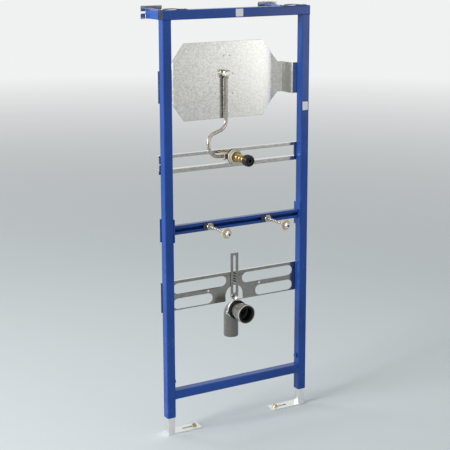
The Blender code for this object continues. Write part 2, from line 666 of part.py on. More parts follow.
def build_bowl_bolt(label, x):
    """A threaded rod held in the channel, with its collar and cap nut at the front."""
    drop = -BOWL_BOLT_DROP
    hole = circle((0, 0), BOWL_BOLT_DIAMETER + FIT_GAP + FIT_GAP)
    inside = CHANNEL_SET_BACK + CHANNEL_WALL + FIT_GAP
    slide = rectangle(
        -SLIDE_PLATE_LENGTH / 2, -SLIDE_PLATE_HEIGHT / 2, SLIDE_PLATE_LENGTH / 2, SLIDE_PLATE_HEIGHT / 2
    )
    spot = (x, inside + SLIDE_PLATE_THICKNESS / 2, drop)
    plate("slide_plate_" + label, [slide, hole], SLIDE_PLATE_THICKNESS, "galvanised", spot)
    front = CHANNEL_SET_BACK - FIT_GAP
    across, tall = BOLT_WASHER_LENGTH / 2, BOLT_WASHER_HEIGHT / 2
    washer = [rectangle(-across, -tall, across, tall), hole]
    spot = (x, front - BOLT_WASHER_THICKNESS / 2, drop)
    plate("bolt_washer_" + label, washer, BOLT_WASHER_THICKNESS, "galvanised", spot)
    front -= BOLT_WASHER_THICKNESS + FIT_GAP
    spot = (x, front - BOLT_NUT_THICKNESS / 2, drop)
    plate("bolt_nut_" + label, [hexagon(BOLT_NUT_WIDTH), hole], BOLT_NUT_THICKNESS, "nickel", spot)
    tip = -BOWL_BOLT_REACH
    back = inside + SLIDE_PLATE_THICKNESS
    radius = BOWL_BOLT_DIAMETER / 2
    rod = [(0, -back), (radius, -back), (radius, -tip), (0, -tip)]
    turned("bolt_rod_" + label, rod, "nickel", (x, 0, drop), steps=SMALL_ROUND_STEPS)
    bore = radius + FIT_GAP
    flange = -tip - COLLAR_FLANGE_THICKNESS - CAP_NUT_THICKNESS
    collar = [
        (bore, flange - COLLAR_SLEEVE_LENGTH),
        (COLLAR_SLEEVE_DIAMETER / 2, flange - COLLAR_SLEEVE_LENGTH),
        (COLLAR_SLEEVE_DIAMETER / 2, flange),
        (COLLAR_FLANGE_DIAMETER / 2, flange),
        (COLLAR_FLANGE_DIAMETER / 2, flange + COLLAR_FLANGE_THICKNESS),
        (bore, flange + COLLAR_FLANGE_THICKNESS),
    ]
    turned("bolt_collar_" + label, collar, "cream_plastic", (x, 0, drop))
    seat = flange + COLLAR_FLANGE_THICKNESS + FIT_GAP
    neck = seat + CAP_NUT_THICKNESS
    front = neck + CAP_NECK_LENGTH
    nut = [
        (bore, seat),
        (CAP_NUT_WIDTH / 2, seat),
        (CAP_NUT_WIDTH / 2, neck - CAP_SHOULDER),
        (CAP_NUT_WIDTH / 2 - CAP_SHOULDER, neck),
        (CAP_NECK_DIAMETER / 2, neck),
        (CAP_NECK_DIAMETER / 2, front - CAP_SHOULDER),
        (CAP_NECK_DIAMETER / 2 - CAP_SHOULDER, front),
        (0, front),
        (0, -tip + FIT_GAP),
        (bore, -tip + FIT_GAP),
    ]
    turned("cap_nut_" + label, nut, "chrome", (x, 0, drop), steps=SMALL_ROUND_STEPS)


def pierced_sheet(name, outlines, edge_drop, turn, finish, y):
    """A sheet facing front with holes, its edge at the given drop turned by the given depth."""
    mesh = bmesh.new()
    edges = []
    for loop in outlines:
        corners = [mesh.verts.new((x, 0, z)) for x, z in loop]
        edges += [mesh.edges.new(pair) for pair in zip(corners, corners[1:] + corners[:1])]
    bmesh.ops.triangle_fill(mesh, edges=edges, use_beauty=True, normal=(0, -1, 0))
    bmesh.ops.recalc_face_normals(mesh, faces=mesh.faces)
    if mesh.faces[:][0].normal.y > 0:
        bmesh.ops.reverse_faces(mesh, faces=mesh.faces)
    folded = [e for e in mesh.edges if all(abs(v.co.z + edge_drop) < WELD_DISTANCE for v in e.verts)]
    turned_edge = bmesh.ops.extrude_edge_only(mesh, edges=folded)["geom"]
    moved = [item for item in turned_edge if isinstance(item, bmesh.types.BMVert)]
    bmesh.ops.translate(mesh, verts=moved, vec=(0, turn, 0))
    data = bpy.data.meshes.new(name)
    mesh.to_mesh(data)
    mesh.free()
    return thicken(place(name, data, finish, (0, y, 0)), SHEET)


def build_drain_plate():
    """A slotted sheet with its top edge turned back, cut open for the waste in an arch."""
    low = -DRAIN_PLATE_DROP - DRAIN_PLATE_HEIGHT
    high = -DRAIN_PLATE_DROP
    half = ARCH_WIDTH / 2
    arch = arc((CENTRE_X, low + ARCH_HEIGHT - half), half, 0, math.pi, ROUND_STEPS // 2)
    outline = [(CENTRE_X + half, low), (FRAME_WIDTH + HOOK_REACH, low), (FRAME_WIDTH + HOOK_REACH, high)]
    outline += [(-HOOK_REACH, high), (-HOOK_REACH, low), (CENTRE_X - half, low)] + arch[::-1]
    upper = -DRAIN_UPPER_SLOT_DROP - DRAIN_SLOT_HEIGHT / 2
    lower = -DRAIN_LOWER_SLOT_DROP - DRAIN_SLOT_HEIGHT / 2
    start = DRAIN_SLOT_OUTER_INSET
    left = [
        slot_along_x(start, CENTRE_X - DRAIN_UPPER_SLOT_REST, upper, DRAIN_SLOT_HEIGHT),
        slot_along_x(start, CENTRE_X - DRAIN_LOWER_SLOT_REST, lower, DRAIN_SLOT_HEIGHT),
        circle((CENTRE_X - DRAIN_HOLE_REST, -DRAIN_HOLE_DROP), DRAIN_HOLE_DIAMETER),
    ]
    outlines = [outline] + left + [mirrored(hole, CENTRE_X) for hole in left]
    pierced_sheet("drain_plate", outlines, DRAIN_PLATE_DROP, DRAIN_FLANGE_DEPTH, "galvanised", BACK_Y)


def build_hanger_strap():
    """The slotted strap in front of the drain plate, with its foot turned to the front."""
    half = STRAP_WIDTH / 2
    outline = rectangle(CENTRE_X - half, -STRAP_FOOT_DROP, CENTRE_X + half, -STRAP_DROP)
    upper = -STRAP_UPPER_SLOT_DROP
    lower = -STRAP_LOWER_SLOT_DROP
    outlines = [
        outline,
        slot_along_y(upper - STRAP_UPPER_SLOT_LENGTH, upper, CENTRE_X, STRAP_SLOT_WIDTH),
        slot_along_y(lower - STRAP_LOWER_SLOT_LENGTH, lower, CENTRE_X, STRAP_SLOT_WIDTH),
    ]
    face_y = BACK_Y - FIT_GAP - SHEET
    edge, turn = STRAP_FOOT_DROP, -STRAP_FOOT_DEPTH
    strap = pierced_sheet("hanger_strap", outlines, edge, turn, "galvanised", face_y)
    spot = (CENTRE_X, BEND_Y - CLAMP_WIDTH / 2, -STRAP_FOOT_DROP)
    drill(strap, CLAMP_BOLT_DIAMETER + FIT_GAP + FIT_GAP, SHEET, spot)


def build_pipe_clamp():
    """A clamp ring with its rubber round the elbow, its nut and the bolt in the strap's foot."""
    axis = (CENTRE_X, BEND_Y - CLAMP_WIDTH / 2, -WASTE_DROP)
    half = CLAMP_WIDTH / 2
    bore = WASTE_DIAMETER / 2 + FIT_GAP
    seat = bore + RUBBER_THICKNESS
    flat = half - RUBBER_LIP
    rubber = [(bore, -half), (seat, -half), (seat, half), (bore, half)]
    turned("clamp_rubber", rubber, "black_rubber", axis)
    ring = [(seat + FIT_GAP, -flat), (CLAMP_RADIUS, -flat), (CLAMP_RADIUS, flat), (seat + FIT_GAP, flat)]
    turned("clamp_ring", ring, "galvanised", axis)
    nut_foot = CLAMP_RADIUS + FIT_GAP
    spot = (CENTRE_X, axis[1], -WASTE_DROP + nut_foot + CLAMP_NUT_HEIGHT / 2)
    hole = circle((0, 0), CLAMP_BOLT_DIAMETER + FIT_GAP + FIT_GAP)
    plate("clamp_nut", [hexagon(CLAMP_NUT_WIDTH), hole], CLAMP_NUT_HEIGHT, "galvanised", spot, UPRIGHT)
    top = FIT_GAP
    tip = -SHEET - CLAMP_NUT_HEIGHT
    radius = CLAMP_BOLT_DIAMETER / 2
    bolt = [(0, tip), (radius, tip), (radius, top), (CLAMP_BOLT_HEAD / 2, top)]
    bolt += [(CLAMP_BOLT_HEAD / 2, top + CLAMP_BOLT_HEAD_HEIGHT), (0, top + CLAMP_BOLT_HEAD_HEIGHT)]
    spot = (CENTRE_X, axis[1], -STRAP_FOOT_DROP)
    turned("clamp_bolt", bolt, "galvanised", spot, UPRIGHT, steps=SMALL_ROUND_STEPS)


def ring_of(mesh, y, z, angle, radius):
    """A ring of points round the elbow's axis, which the angle turns from front-back to upright."""
    points = []
    for step in range(ROUND_STEPS):
        turn = math.tau * step / ROUND_STEPS
        across, along = radius * math.cos(turn), radius * math.sin(turn)
        points.append(mesh.verts.new((across, y + along * math.sin(angle), z + along * math.cos(angle))))
    return points


def build_drain_elbow():
    """A wide socket facing front that narrows to the pipe and turns down into the leg."""
    front = -SOCKET_FRONT_REACH
    deep = front + SOCKET_DEPTH
    leg = LEG_DROP - WASTE_DROP
    lip = front + SOCKET_LIP_DEPTH
    outer = [
        (front, 0, 0, SOCKET_DIAMETER / 2),
        (lip, 0, 0, SOCKET_DIAMETER / 2),
        (lip, 0, 0, SOCKET_LIP_DIAMETER / 2),
        (deep - SOCKET_SHOULDER, 0, 0, SOCKET_LIP_DIAMETER / 2),
        (deep, 0, 0, WASTE_DIAMETER / 2),
    ]
    inner = [
        (front, 0, 0, SOCKET_BORE / 2),
        (deep - SOCKET_SHOULDER, 0, 0, SOCKET_BORE / 2),
        (deep, 0, 0, WASTE_BORE / 2),
    ]
    for step in range(BEND_STEPS + 1):
        angle = math.pi / 2 * step / BEND_STEPS
        y = BEND_Y + ELBOW_RADIUS * math.sin(angle)
        z = ELBOW_RADIUS * (math.cos(angle) - 1)
        outer.append((y, z, angle, WASTE_DIAMETER / 2))
        inner.append((y, z, angle, WASTE_BORE / 2))
    outer.append((LEG_SET_BACK, -leg, math.pi / 2, WASTE_DIAMETER / 2))
    inner.append((LEG_SET_BACK, -leg, math.pi / 2, WASTE_BORE / 2))
    mesh = bmesh.new()
    rings = [ring_of(mesh, *station) for station in outer + inner[::-1]]
    for ring, after in zip(rings, rings[1:] + rings[:1]):
        for a, b, c, d in zip(ring, ring[1:] + ring[:1], after[1:] + after[:1], after):
            mesh.faces.new((a, b, c, d))
    bmesh.ops.recalc_face_normals(mesh, faces=mesh.faces)
    data = bpy.data.meshes.new("drain_elbow")
    mesh.to_mesh(data)
    mesh.free()
    place("drain_elbow", data, "grey_plastic", (CENTRE_X, 0, -WASTE_DROP))


def build_lip_seal():
    """The rubber seal inside the front of the socket."""
    outer = SOCKET_BORE / 2 - FIT_GAP
    inner = outer - LIP_SEAL_WIDTH
    front = SOCKET_FRONT_REACH
    back = front - LIP_SEAL_DEPTH
    seal = [(inner, back), (outer, back), (outer, front), (inner, front)]
    turned("socket_seal", seal, "black_rubber", (CENTRE_X, 0, -WASTE_DROP))


def build_foot(label, x, inward):
    """A telescopic foot; inward is 1 where its sole reaches to the right. Its origin is on its slide."""
    spot = (x, TUBE_SIDE / 2, -FRAME_HEIGHT)
    slide = empty("foot_slide_" + label, spot, bpy.data.objects["frame_origin"])
    top_of_sole = -FOOT_EXPOSED + SOLE_THICKNESS
    length = FOOT_INSERTED - top_of_sole
    square_tube(
        "foot_" + label,
        FOOT_SIDE,
        FOOT_WALL,
        FOOT_CORNER,
        length - FIT_GAP,
        "galvanised",
        (0, 0, FOOT_INSERTED - (length - FIT_GAP) / 2),
        UPRIGHT,
        slide,
    )
    edge = -FOOT_SIDE / 2
    far = edge + SOLE_LENGTH
    near_y = -FOOT_SIDE / 2
    outline = rectangle(edge, near_y, far, near_y + SOLE_DEPTH)
    middle = near_y + SOLE_DEPTH / 2
    slot_end = far - SOLE_SLOT_INSET
    slot = slot_along_x(slot_end - SOLE_SLOT_LENGTH, slot_end, middle, SOLE_SLOT_WIDTH)
    outlines = [outline, slot]
    if inward < 0:
        outlines = [mirrored(points, 0) for points in outlines]
    spot = (0, 0, -FOOT_EXPOSED + SOLE_THICKNESS / 2)
    plate("foot_sole_" + label, outlines, SOLE_THICKNESS, "galvanised", spot, UPRIGHT, slide)
    head = FLOOR_BOLT_HEAD_HEIGHT + FLOOR_WASHER_THICKNESS
    bolt = [
        (0, -SOLE_THICKNESS),
        (FLOOR_BOLT_DIAMETER / 2, -SOLE_THICKNESS),
        (FLOOR_BOLT_DIAMETER / 2, FIT_GAP),
        (FLOOR_WASHER_DIAMETER / 2, FIT_GAP),
        (FLOOR_WASHER_DIAMETER / 2, FLOOR_WASHER_THICKNESS),
        (FLOOR_BOLT_HEAD / 2, FLOOR_WASHER_THICKNESS),
        (FLOOR_BOLT_HEAD / 2, head),
        (0, head),
    ]
    bolt_x = inward * (slot_end - SOLE_SLOT_WIDTH)
    spot = (bolt_x, middle, top_of_sole)
    turned("floor_bolt_" + label, bolt, "galvanised", spot, UPRIGHT, slide, SMALL_ROUND_STEPS)


def build_foot_clamp(label, face_x, direction):
    """The head of the screw that holds a foot, on the inner face of its upright."""
    spot = (face_x + direction * (FIT_GAP + FOOT_CLAMP_HEAD_HEIGHT / 2), TUBE_SIDE / 2, -FOOT_CLAMP_DROP)
    head = [hexagon(FOOT_CLAMP_HEAD)]
    plate("foot_clamp_" + label, head, FOOT_CLAMP_HEAD_HEIGHT, "blue_paint", spot, ALONG_X)


def main():
    clear_scene()
    empty("frame_origin", (-LEFT_ARM_X, -WALL_Y, BRACKET_MIDDLE_DROP))
    build_frame_tubes()
    build_wall_arms()
    build_valve_plate()
    build_flush_pipe()
    build_inlet_rails()
    build_water_inlet()
    build_fixing_rail()
    for label, x in zip(("left", "right"), BOLT_XS):
        build_bowl_bolt(label, x)
    build_drain_plate()
    build_hanger_strap()
    build_pipe_clamp()
    build_drain_elbow()
    build_lip_seal()
    build_foot("left", TUBE_SIDE / 2, 1)
    build_foot("right", FRAME_WIDTH - TUBE_SIDE / 2, -1)
    build_foot_clamp("left", TUBE_SIDE, 1)
    build_foot_clamp("right", FRAME_WIDTH - TUBE_SIDE, -1)


main()
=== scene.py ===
"""Looks of a urinal installation frame: blue powder coated square tube, bright zinc sheet brackets,
a nickel flush pipe, a brass inlet with its plug, threaded bowl bolts, and a grey waste elbow."""

import logging
import math
from dataclasses import dataclass, field
from enum import Enum
from typing import Any, Iterable, Sequence

import bmesh
import bpy
from mathutils import Euler, Matrix, Vector


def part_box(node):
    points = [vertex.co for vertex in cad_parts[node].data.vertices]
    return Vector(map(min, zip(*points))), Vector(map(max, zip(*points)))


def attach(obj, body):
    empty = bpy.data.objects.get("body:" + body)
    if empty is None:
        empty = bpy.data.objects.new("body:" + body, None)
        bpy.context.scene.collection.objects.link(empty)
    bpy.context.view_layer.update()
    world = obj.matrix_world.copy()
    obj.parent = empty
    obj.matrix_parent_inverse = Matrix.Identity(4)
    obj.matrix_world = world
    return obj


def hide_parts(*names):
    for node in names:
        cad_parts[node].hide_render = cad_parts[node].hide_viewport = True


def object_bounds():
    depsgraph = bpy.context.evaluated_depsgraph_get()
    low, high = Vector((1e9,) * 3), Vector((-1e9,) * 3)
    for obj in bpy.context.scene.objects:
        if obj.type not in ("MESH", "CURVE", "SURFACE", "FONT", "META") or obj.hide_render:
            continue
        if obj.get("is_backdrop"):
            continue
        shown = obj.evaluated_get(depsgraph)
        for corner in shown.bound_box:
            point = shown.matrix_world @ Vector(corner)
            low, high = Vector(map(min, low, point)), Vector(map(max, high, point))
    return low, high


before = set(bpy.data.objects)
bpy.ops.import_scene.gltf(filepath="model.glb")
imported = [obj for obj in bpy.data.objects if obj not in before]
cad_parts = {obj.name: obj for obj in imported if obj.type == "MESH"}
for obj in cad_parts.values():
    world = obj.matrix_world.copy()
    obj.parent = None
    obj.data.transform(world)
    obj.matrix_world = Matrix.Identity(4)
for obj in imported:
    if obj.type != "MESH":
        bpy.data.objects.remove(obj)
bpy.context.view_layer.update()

LOG = logging.getLogger("installation_frame")
Point = tuple[float, float]
Colour = tuple[float, float, float]
MERGE = 0.000002
SHEET_EDGE = 0.0024
TUBE_STEPS = 8
PIPE_STEPS = 64
PIN_STEPS = 24
ROUND_STEPS = 48
SMALL_STEPS = 32


class Facing(Enum):
    """The way a turned piece's own height points in the frame."""

    UP = (0.0, 0.0, 0.0)
    FRONT = (math.pi / 2, 0.0, 0.0)
    RIGHT = (0.0, math.pi / 2, 0.0)

    def at(self, spot: Sequence[float]) -> Matrix:
        """Returns the matrix that sets a piece at the spot, facing this way."""
        return Matrix.Translation(Vector(spot)) @ Euler(self.value).to_matrix().to_4x4()


class Ride(Enum):
    """The bodies that pieces ride on."""

    FRAME = "frame"
    LEFT = "foot_left_body"
    RIGHT = "foot_right_body"


class Level:
    """A number socket that takes Python's arithmetic; each operation adds one Math node."""

    def __init__(self, sheet: "NodeSheet", socket: bpy.types.NodeSocket) -> None:
        """Wraps a socket.

        Args:
            sheet: The tree that the socket belongs to.
            socket: An output socket that carries one number.
        """
        self.sheet = sheet
        self.socket = socket

    def _join(self, operation: str, first: Any, second: Any) -> "Level":
        """Adds one Math node.

        Args:
            operation: The Math node's operation.
            first: The first number or socket.
            second: The second number or socket.

        Returns:
            The node's result.
        """
        node = self.sheet.add("ShaderNodeMath", {"operation": operation}, {0: first, 1: second})
        return Level(self.sheet, node.outputs[0])

    def __add__(self, other: Any) -> "Level":
        """Returns this plus other."""
        return self._join("ADD", self, other)

    def __radd__(self, other: Any) -> "Level":
        """Returns other plus this."""
        return self._join("ADD", other, self)

    def __sub__(self, other: Any) -> "Level":
        """Returns this minus other."""
        return self._join("SUBTRACT", self, other)

    def __rsub__(self, other: Any) -> "Level":
        """Returns other minus this."""
        return self._join("SUBTRACT", other, self)

    def __mul__(self, other: Any) -> "Level":
        """Returns this times other."""
        return self._join("MULTIPLY", self, other)

    def __rmul__(self, other: Any) -> "Level":
        """Returns other times this."""
        return self._join("MULTIPLY", other, self)

    def __truediv__(self, other: Any) -> "Level":
        """Returns this divided by other."""
        return self._join("DIVIDE", self, other)

    def __gt__(self, other: Any) -> "Level":
        """Returns 1 where this is over other."""
        return self._join("GREATER_THAN", self, other)

    def __pow__(self, other: Any) -> "Level":
        """Returns this to the power of other."""
        return self._join("POWER", self, other)

    def between(self, low: float, high: float) -> "Level":
        """Spreads the stretch from low to high over 0 to 1, held inside it.

        Args:
            low: The number that becomes 0.
            high: The number that becomes 1.

        Returns:
            The spread level.
        """
        node = self.sheet.add("ShaderNodeMapRange", {"clamp": True}, {0: self, 1: low, 2: high})
        return Level(self.sheet, node.outputs[0])


class NodeSheet:
    """A node tree under construction."""

    def __init__(self, tree: bpy.types.NodeTree) -> None:
        """Keeps the tree."""
        self.tree = tree

    def add(
        self,
        kind: str,
        settings: dict[str, Any] | None = None,
        values: dict[Any, Any] | None = None,
    ) -> Any:
        """Adds one node.

        Args:
            kind: The node's type.
            settings: Properties, set before the sockets; "stops" fills a colour ramp.
            values: Numbers, colours or links by socket name or index.

        Returns:
            The node.
        """
        node = self.tree.nodes.new(kind)
        for name, value in (settings or {}).items():
            if name == "stops":
                self._fill_ramp(node.color_ramp, value)
            else:
                setattr(node, name, value)
        for key, value in (values or {}).items():
            self.feed(node.inputs[key], value)
        return node

    def feed(self, socket: bpy.types.NodeSocket, value: Any) -> None:
        """Links or sets one input.

        Args:
            socket: The input.
            value: A level, a socket, or a plain value.
        """
        if isinstance(value, Level):
            self.tree.links.new(value.socket, socket)
        elif isinstance(value, bpy.types.NodeSocket):
            self.tree.links.new(value, socket)
        else:
            socket.default_value = value

    @staticmethod
    def _fill_ramp(ramp: bpy.types.ColorRamp, stops: Sequence[tuple[float, Sequence[float]]]) -> None:
        """Sets a ramp's stops.

        Args:
            ramp: The ramp of a new node, with two stops.
            stops: Position and colour of each stop.
        """
        while len(ramp.elements) < len(stops):
            ramp.elements.new(0.5)
        for element, (position, colour) in zip(ramp.elements, stops):
            element.position = position
            element.color = (*colour, 1.0)


class Recipe(NodeSheet):
    """A material under construction, on the object's own coordinates in metres."""

    def __init__(self, name: str) -> None:
        """Starts a material with its Principled shader.

        Args:
            name: The material's name.
        """
        self.material = bpy.data.materials.new(name)
        self.material.use_nodes = True
        super().__init__(self.material.node_tree)
        self.shader = self.tree.nodes["Principled BSDF"]
        self.coords = self.add("ShaderNodeTexCoord").outputs["Object"]

    def stretched(self, scale: Sequence[float]) -> bpy.types.NodeSocket:
        """Returns the coordinates scaled by an amount on each axis."""
        return self.add("ShaderNodeMapping", None, {"Vector": self.coords, "Scale": scale}).outputs[0]

    def grain(self, scale: float, detail: float = 2.0, stretch: Sequence[float] = (1, 1, 1)) -> Level:
        """Adds a noise.

        Args:
            scale: Waves to the metre.
            detail: How many finer waves are laid on it.
            stretch: Extra scale on each axis.

        Returns:
            The noise from 0 to 1.
        """
        values = {"Vector": self.stretched(stretch), "Scale": scale, "Detail": detail}
        return Level(self, self.add("ShaderNodeTexNoise", None, values).outputs[0])

    def cells(self, scale: float, feature: str = "F1", output: str = "Color") -> Level:
        """Adds a pattern of cells.

        Args:
            scale: Cells to the metre.
            feature: The Voronoi node's feature.
            output: Color for one number a cell, Distance for the way to its middle or edge.

        Returns:
            The pattern.
        """
        values = {"Vector": self.coords, "Scale": scale}
        node = self.add("ShaderNodeTexVoronoi", {"feature": feature}, values)
        if output == "Distance":
            return Level(self, node.outputs["Distance"])
        parts = self.add("ShaderNodeSeparateColor", None, {0: node.outputs["Color"]})
        return Level(self, parts.outputs[0])

    def painted(self, name: str) -> Level:
        """Reads a number that the piece carries on its faces; it is 0 on a piece without it."""
        node = self.add("ShaderNodeAttribute", {"attribute_name": name})
        return Level(self, node.outputs["Fac"])

    def blend(self, share: Level, first: Any, second: Any) -> bpy.types.NodeSocket:
        """Mixes two colours.

        Args:
            share: How much of the second colour shows.
            first: A colour or a colour socket.
            second: A colour or a colour socket.

        Returns:
            The mixed colour.
        """
        colours = {6: first, 7: second}
        whole = {k: (*c, 1.0) if isinstance(c, tuple) else c for k, c in colours.items()}
        node = self.add("ShaderNodeMix", {"data_type": "RGBA"}, {0: share, **whole})
        return node.outputs[2]

    def relief(self, height: Level, strength: float, distance: float) -> None:
        """Feeds a height into the shader's normal.

        Args:
            height: The height from 0 to 1.
            strength: The Bump node's strength.
            distance: The height's size in metres.
        """
        values = {"Height": height, "Strength": strength, "Distance": distance}
        self.feed(self.shader.inputs["Normal"], self.add("ShaderNodeBump", None, values).outputs[0])

    def surface(self, **values: Any) -> None:
        """Sets or links the shader's inputs; an underscore in a name stands for a space."""
        for name, value in values.items():
            self.feed(self.shader.inputs[name.replace("_", " ").title().replace("Ior", "IOR")], value)


@dataclass(frozen=True)
class Finish:
    """What a surface is made of. Each kind mixes its own material once."""

    name: str
    slot: str

    def material(self) -> bpy.types.Material:
        """Makes the finish's material at its first use.

        Returns:
            The material.
        """
        found = bpy.data.materials.get(self.name)
        if found:
            return found
        recipe = Recipe(self.name)
        self.mix(recipe)
        return recipe.material

    def mix(self, recipe: Recipe) -> None:
        """Fills the recipe; each kind of finish has its own."""
        raise NotImplementedError(self.name)


@dataclass(frozen=True)
class PowderCoat(Finish):
    """Glossy paint with a fine orange peel, a drifting tone and a few dull handling marks."""

    colour: Colour = (0.008, 0.066, 0.330)
    deep: Colour = (0.004, 0.050, 0.265)

    def mix(self, recipe: Recipe) -> None:
        """Fills the recipe.

        Args:
            recipe: The material to fill.
        """
        peel = recipe.grain(620.0, 2.0)
        drift = recipe.grain(5.0, 3.0)
        marks = recipe.grain(34.0, 6.0, (1.0, 1.0, 0.35)).between(0.60, 0.76)
        tone = recipe.blend(drift.between(0.35, 0.65), self.deep, self.colour)
        scuffed = recipe.blend(marks * 0.16, tone, (0.10, 0.17, 0.36))
        recipe.surface(base_color=scuffed, roughness=0.20 + peel * 0.06 + marks * 0.20)
        recipe.surface(specular_ior_level=0.30, coat_weight=0.12, coat_roughness=0.10)
        recipe.relief(peel, 0.10, 0.00025)


@dataclass(frozen=True)
class Zinc(Finish):
    """Galvanised sheet: crystals of slightly different grey, fine speckle and rolling lines, with a painted
    highlight on up-facing faces.
    """

    pale: Colour = (0.69, 0.685, 0.655)
    dark: Colour = (0.50, 0.495, 0.47)
    crystals: float = 230.0
    gloss: float = 0.19
    scatter: float = 0.045
    raw: Colour = (0.20, 0.15, 0.11)
    # The pale colour of the painted highlight on up-facing faces.
    painted_highlight_colour: Colour = (0.80, 0.79, 0.75)

    def mix(self, recipe: Recipe) -> None:
        """Fills the recipe.

        Args:
            recipe: The material to fill.
        """
        crystal = recipe.cells(self.crystals)
        speckle = recipe.grain(330.0, 3.0)
        cloud = recipe.grain(9.0, 4.0)
        rolled = recipe.grain(60.0, 3.0, (0.15, 1.0, 6.0))
        shade = (crystal * 0.44 + speckle * 0.44 + cloud * 0.24 + rolled * 0.12).between(0.30, 0.92)
        sheet = recipe.blend(shade, self.dark, self.pale)
        # Up-facing faces are blended towards a paler colour: a painted highlight where tops catch the light.
        painted_top_highlight = recipe.blend(recipe.painted("painted_top_highlight") * 0.75, sheet, self.painted_highlight_colour)
        recipe.surface(base_color=recipe.blend(recipe.painted("cut") * 0.85, painted_top_highlight, self.raw), metallic=1.0)
        recipe.surface(roughness=self.gloss + crystal * self.scatter + (1.0 - speckle) * self.scatter)
        recipe.relief(speckle * 0.6 + crystal * 0.4, 0.018, 0.0002)


@dataclass(frozen=True)
class Plated(Finish):
    """Plated or bare turned metal with faint clouding and fine tool lines."""

    colour: Colour = (0.47, 0.435, 0.37)
    stain: Colour = (0.29, 0.255, 0.195)
    gloss: float = 0.20
    lines: float = 0.10

    def mix(self, recipe: Recipe) -> None:
        """Fills the recipe.

        Args:
            recipe: The material to fill.
        """
        cloud = recipe.grain(45.0, 5.0)
        lines = recipe.grain(900.0, 2.0, (1.0, 0.2, 0.2))
        stained = cloud.between(0.52, 0.78)
        recipe.surface(base_color=recipe.blend(stained * 0.55, self.colour, self.stain), metallic=1.0)
        recipe.surface(roughness=self.gloss + stained * 0.14 + lines * self.lines)
        recipe.relief(cloud, 0.05, 0.0002)


@dataclass(frozen=True)
class Moulded(Finish):
    """Moulded plastic or rubber with a fine skin and a light film of dust."""

    colour: Colour = (0.10, 0.10, 0.10)
    dust: Colour = (0.30, 0.29, 0.27)
    gloss: float = 0.38
    skin: float = 0.12
    dusty: float = 0.22
    coat: float = 0.0
    shine: float = 0.5

    def mix(self, recipe: Recipe) -> None:
        """Fills the recipe.

        Args:
            recipe: The material to fill.
        """
        skin = recipe.grain(1400.0, 2.0)
        film = recipe.grain(70.0, 5.0).between(0.50, 0.80)
        recipe.surface(base_color=recipe.blend(film * self.dusty, self.colour, self.dust))
        recipe.surface(roughness=self.gloss + film * self.dusty + skin * 0.06)
        recipe.surface(coat_weight=self.coat, coat_roughness=0.12, specular_ior_level=self.shine)
        recipe.relief(skin, self.skin, 0.00015)


@dataclass(frozen=True)
class Paper(Finish):
    """A bare pale sticker with a faint fibre."""

    colour: Colour = (0.90, 0.90, 0.90)

    def mix(self, recipe: Recipe) -> None:
        """Fills the recipe.

        Args:
            recipe: The material to fill.
        """
        fibre = recipe.grain(800.0, 4.0)
        recipe.surface(base_color=recipe.blend(fibre.between(0.3, 0.7), (0.82, 0.82, 0.83), self.colour))
        recipe.surface(roughness=0.42 + fibre * 0.12)
        recipe.relief(fibre, 0.05, 0.0001)


BLUE = PowderCoat("blue_powder_coat", "blue_paint")
ZINC = Zinc("bright_zinc", "galvanised")
# A much darker copy of the bright zinc: painted shade and painted dark reflection on the drain plate and
# hanger strap.
ZINC_DEEP_SHADE = Zinc("zinc_painted_deep_shade", "galvanised", (0.38, 0.372, 0.345), (0.24, 0.236, 0.218), 260.0, 0.14)
# A darker copy of the bright zinc: painted shade on rails, brackets, bolt nuts and clamp ears.
ZINC_SHADE = Zinc("zinc_painted_shade", "galvanised", (0.56, 0.55, 0.52), (0.42, 0.415, 0.39), 200.0, 0.14)
ZINC_FOOT = Zinc("foot_zinc", "galvanised", (0.95, 0.945, 0.93), (0.80, 0.795, 0.78), 260.0, 0.30)
NICKEL = Plated("satin_nickel", "nickel")
PALE_NICKEL = Plated("pale_nickel", "nickel", (0.80, 0.75, 0.66), (0.56, 0.51, 0.43), 0.32)
CHROME = Plated("bright_chrome", "chrome", (0.86, 0.86, 0.86), (0.62, 0.60, 0.56), 0.08, 0.04)
BRASS = Plated("turned_brass", "brass", (0.42, 0.29, 0.115), (0.23, 0.15, 0.055), 0.18, 0.12)
GOLDEN = Plated("yellow_zinc", "galvanised", (0.40, 0.32, 0.17), (0.24, 0.18, 0.09), 0.26, 0.12)
# Dark steel; on the bowl bolts' washers it is painted shade, since those washers only look dark in shade.
DARK_STEEL_AND_SHADE = Plated("dark_strip_and_painted_shade", "dark_steel", (0.10, 0.10, 0.12), (0.04, 0.04, 0.05), 0.36, 0.12)
BLACK = Moulded(
    "black_plastic_skin", "black_plastic", (0.012, 0.0115, 0.011), (0.05, 0.048, 0.045), 0.22, 0.1,
    0.1, 0.0, 0.3,
)
CREAM = Moulded("cream_plastic_skin", "cream_plastic", (0.56, 0.525, 0.425), (0.40, 0.36, 0.28), 0.36)
BEIGE = Moulded("beige_collar_skin", "cream_plastic", (0.66, 0.52, 0.37), (0.48, 0.37, 0.26), 0.36)
GREY = Moulded(
    "grey_pipe_skin", "grey_plastic", (0.122, 0.116, 0.104), (0.19, 0.18, 0.165), 0.22, 0.04, 0.06,
    0.7,
)
RUBBER = Moulded(
    "black_rubber_skin", "black_rubber", (0.010, 0.0098, 0.0094), (0.04, 0.04, 0.038), 0.6, 0.2, 0.1,
    0.0, 0.22,
)
# A pale grey for the bead round the waste socket's mouth: a painted highlight on the mouth's lit edge.
RIM_PAINTED_HIGHLIGHT = Moulded(
    "rim_painted_highlight_skin", "grey_plastic", (0.60, 0.59, 0.55), (0.24, 0.23, 0.21), 0.24, 0.06, 0.08, 0.5,
)
LABEL = Paper("bare_label", "cream_plastic")


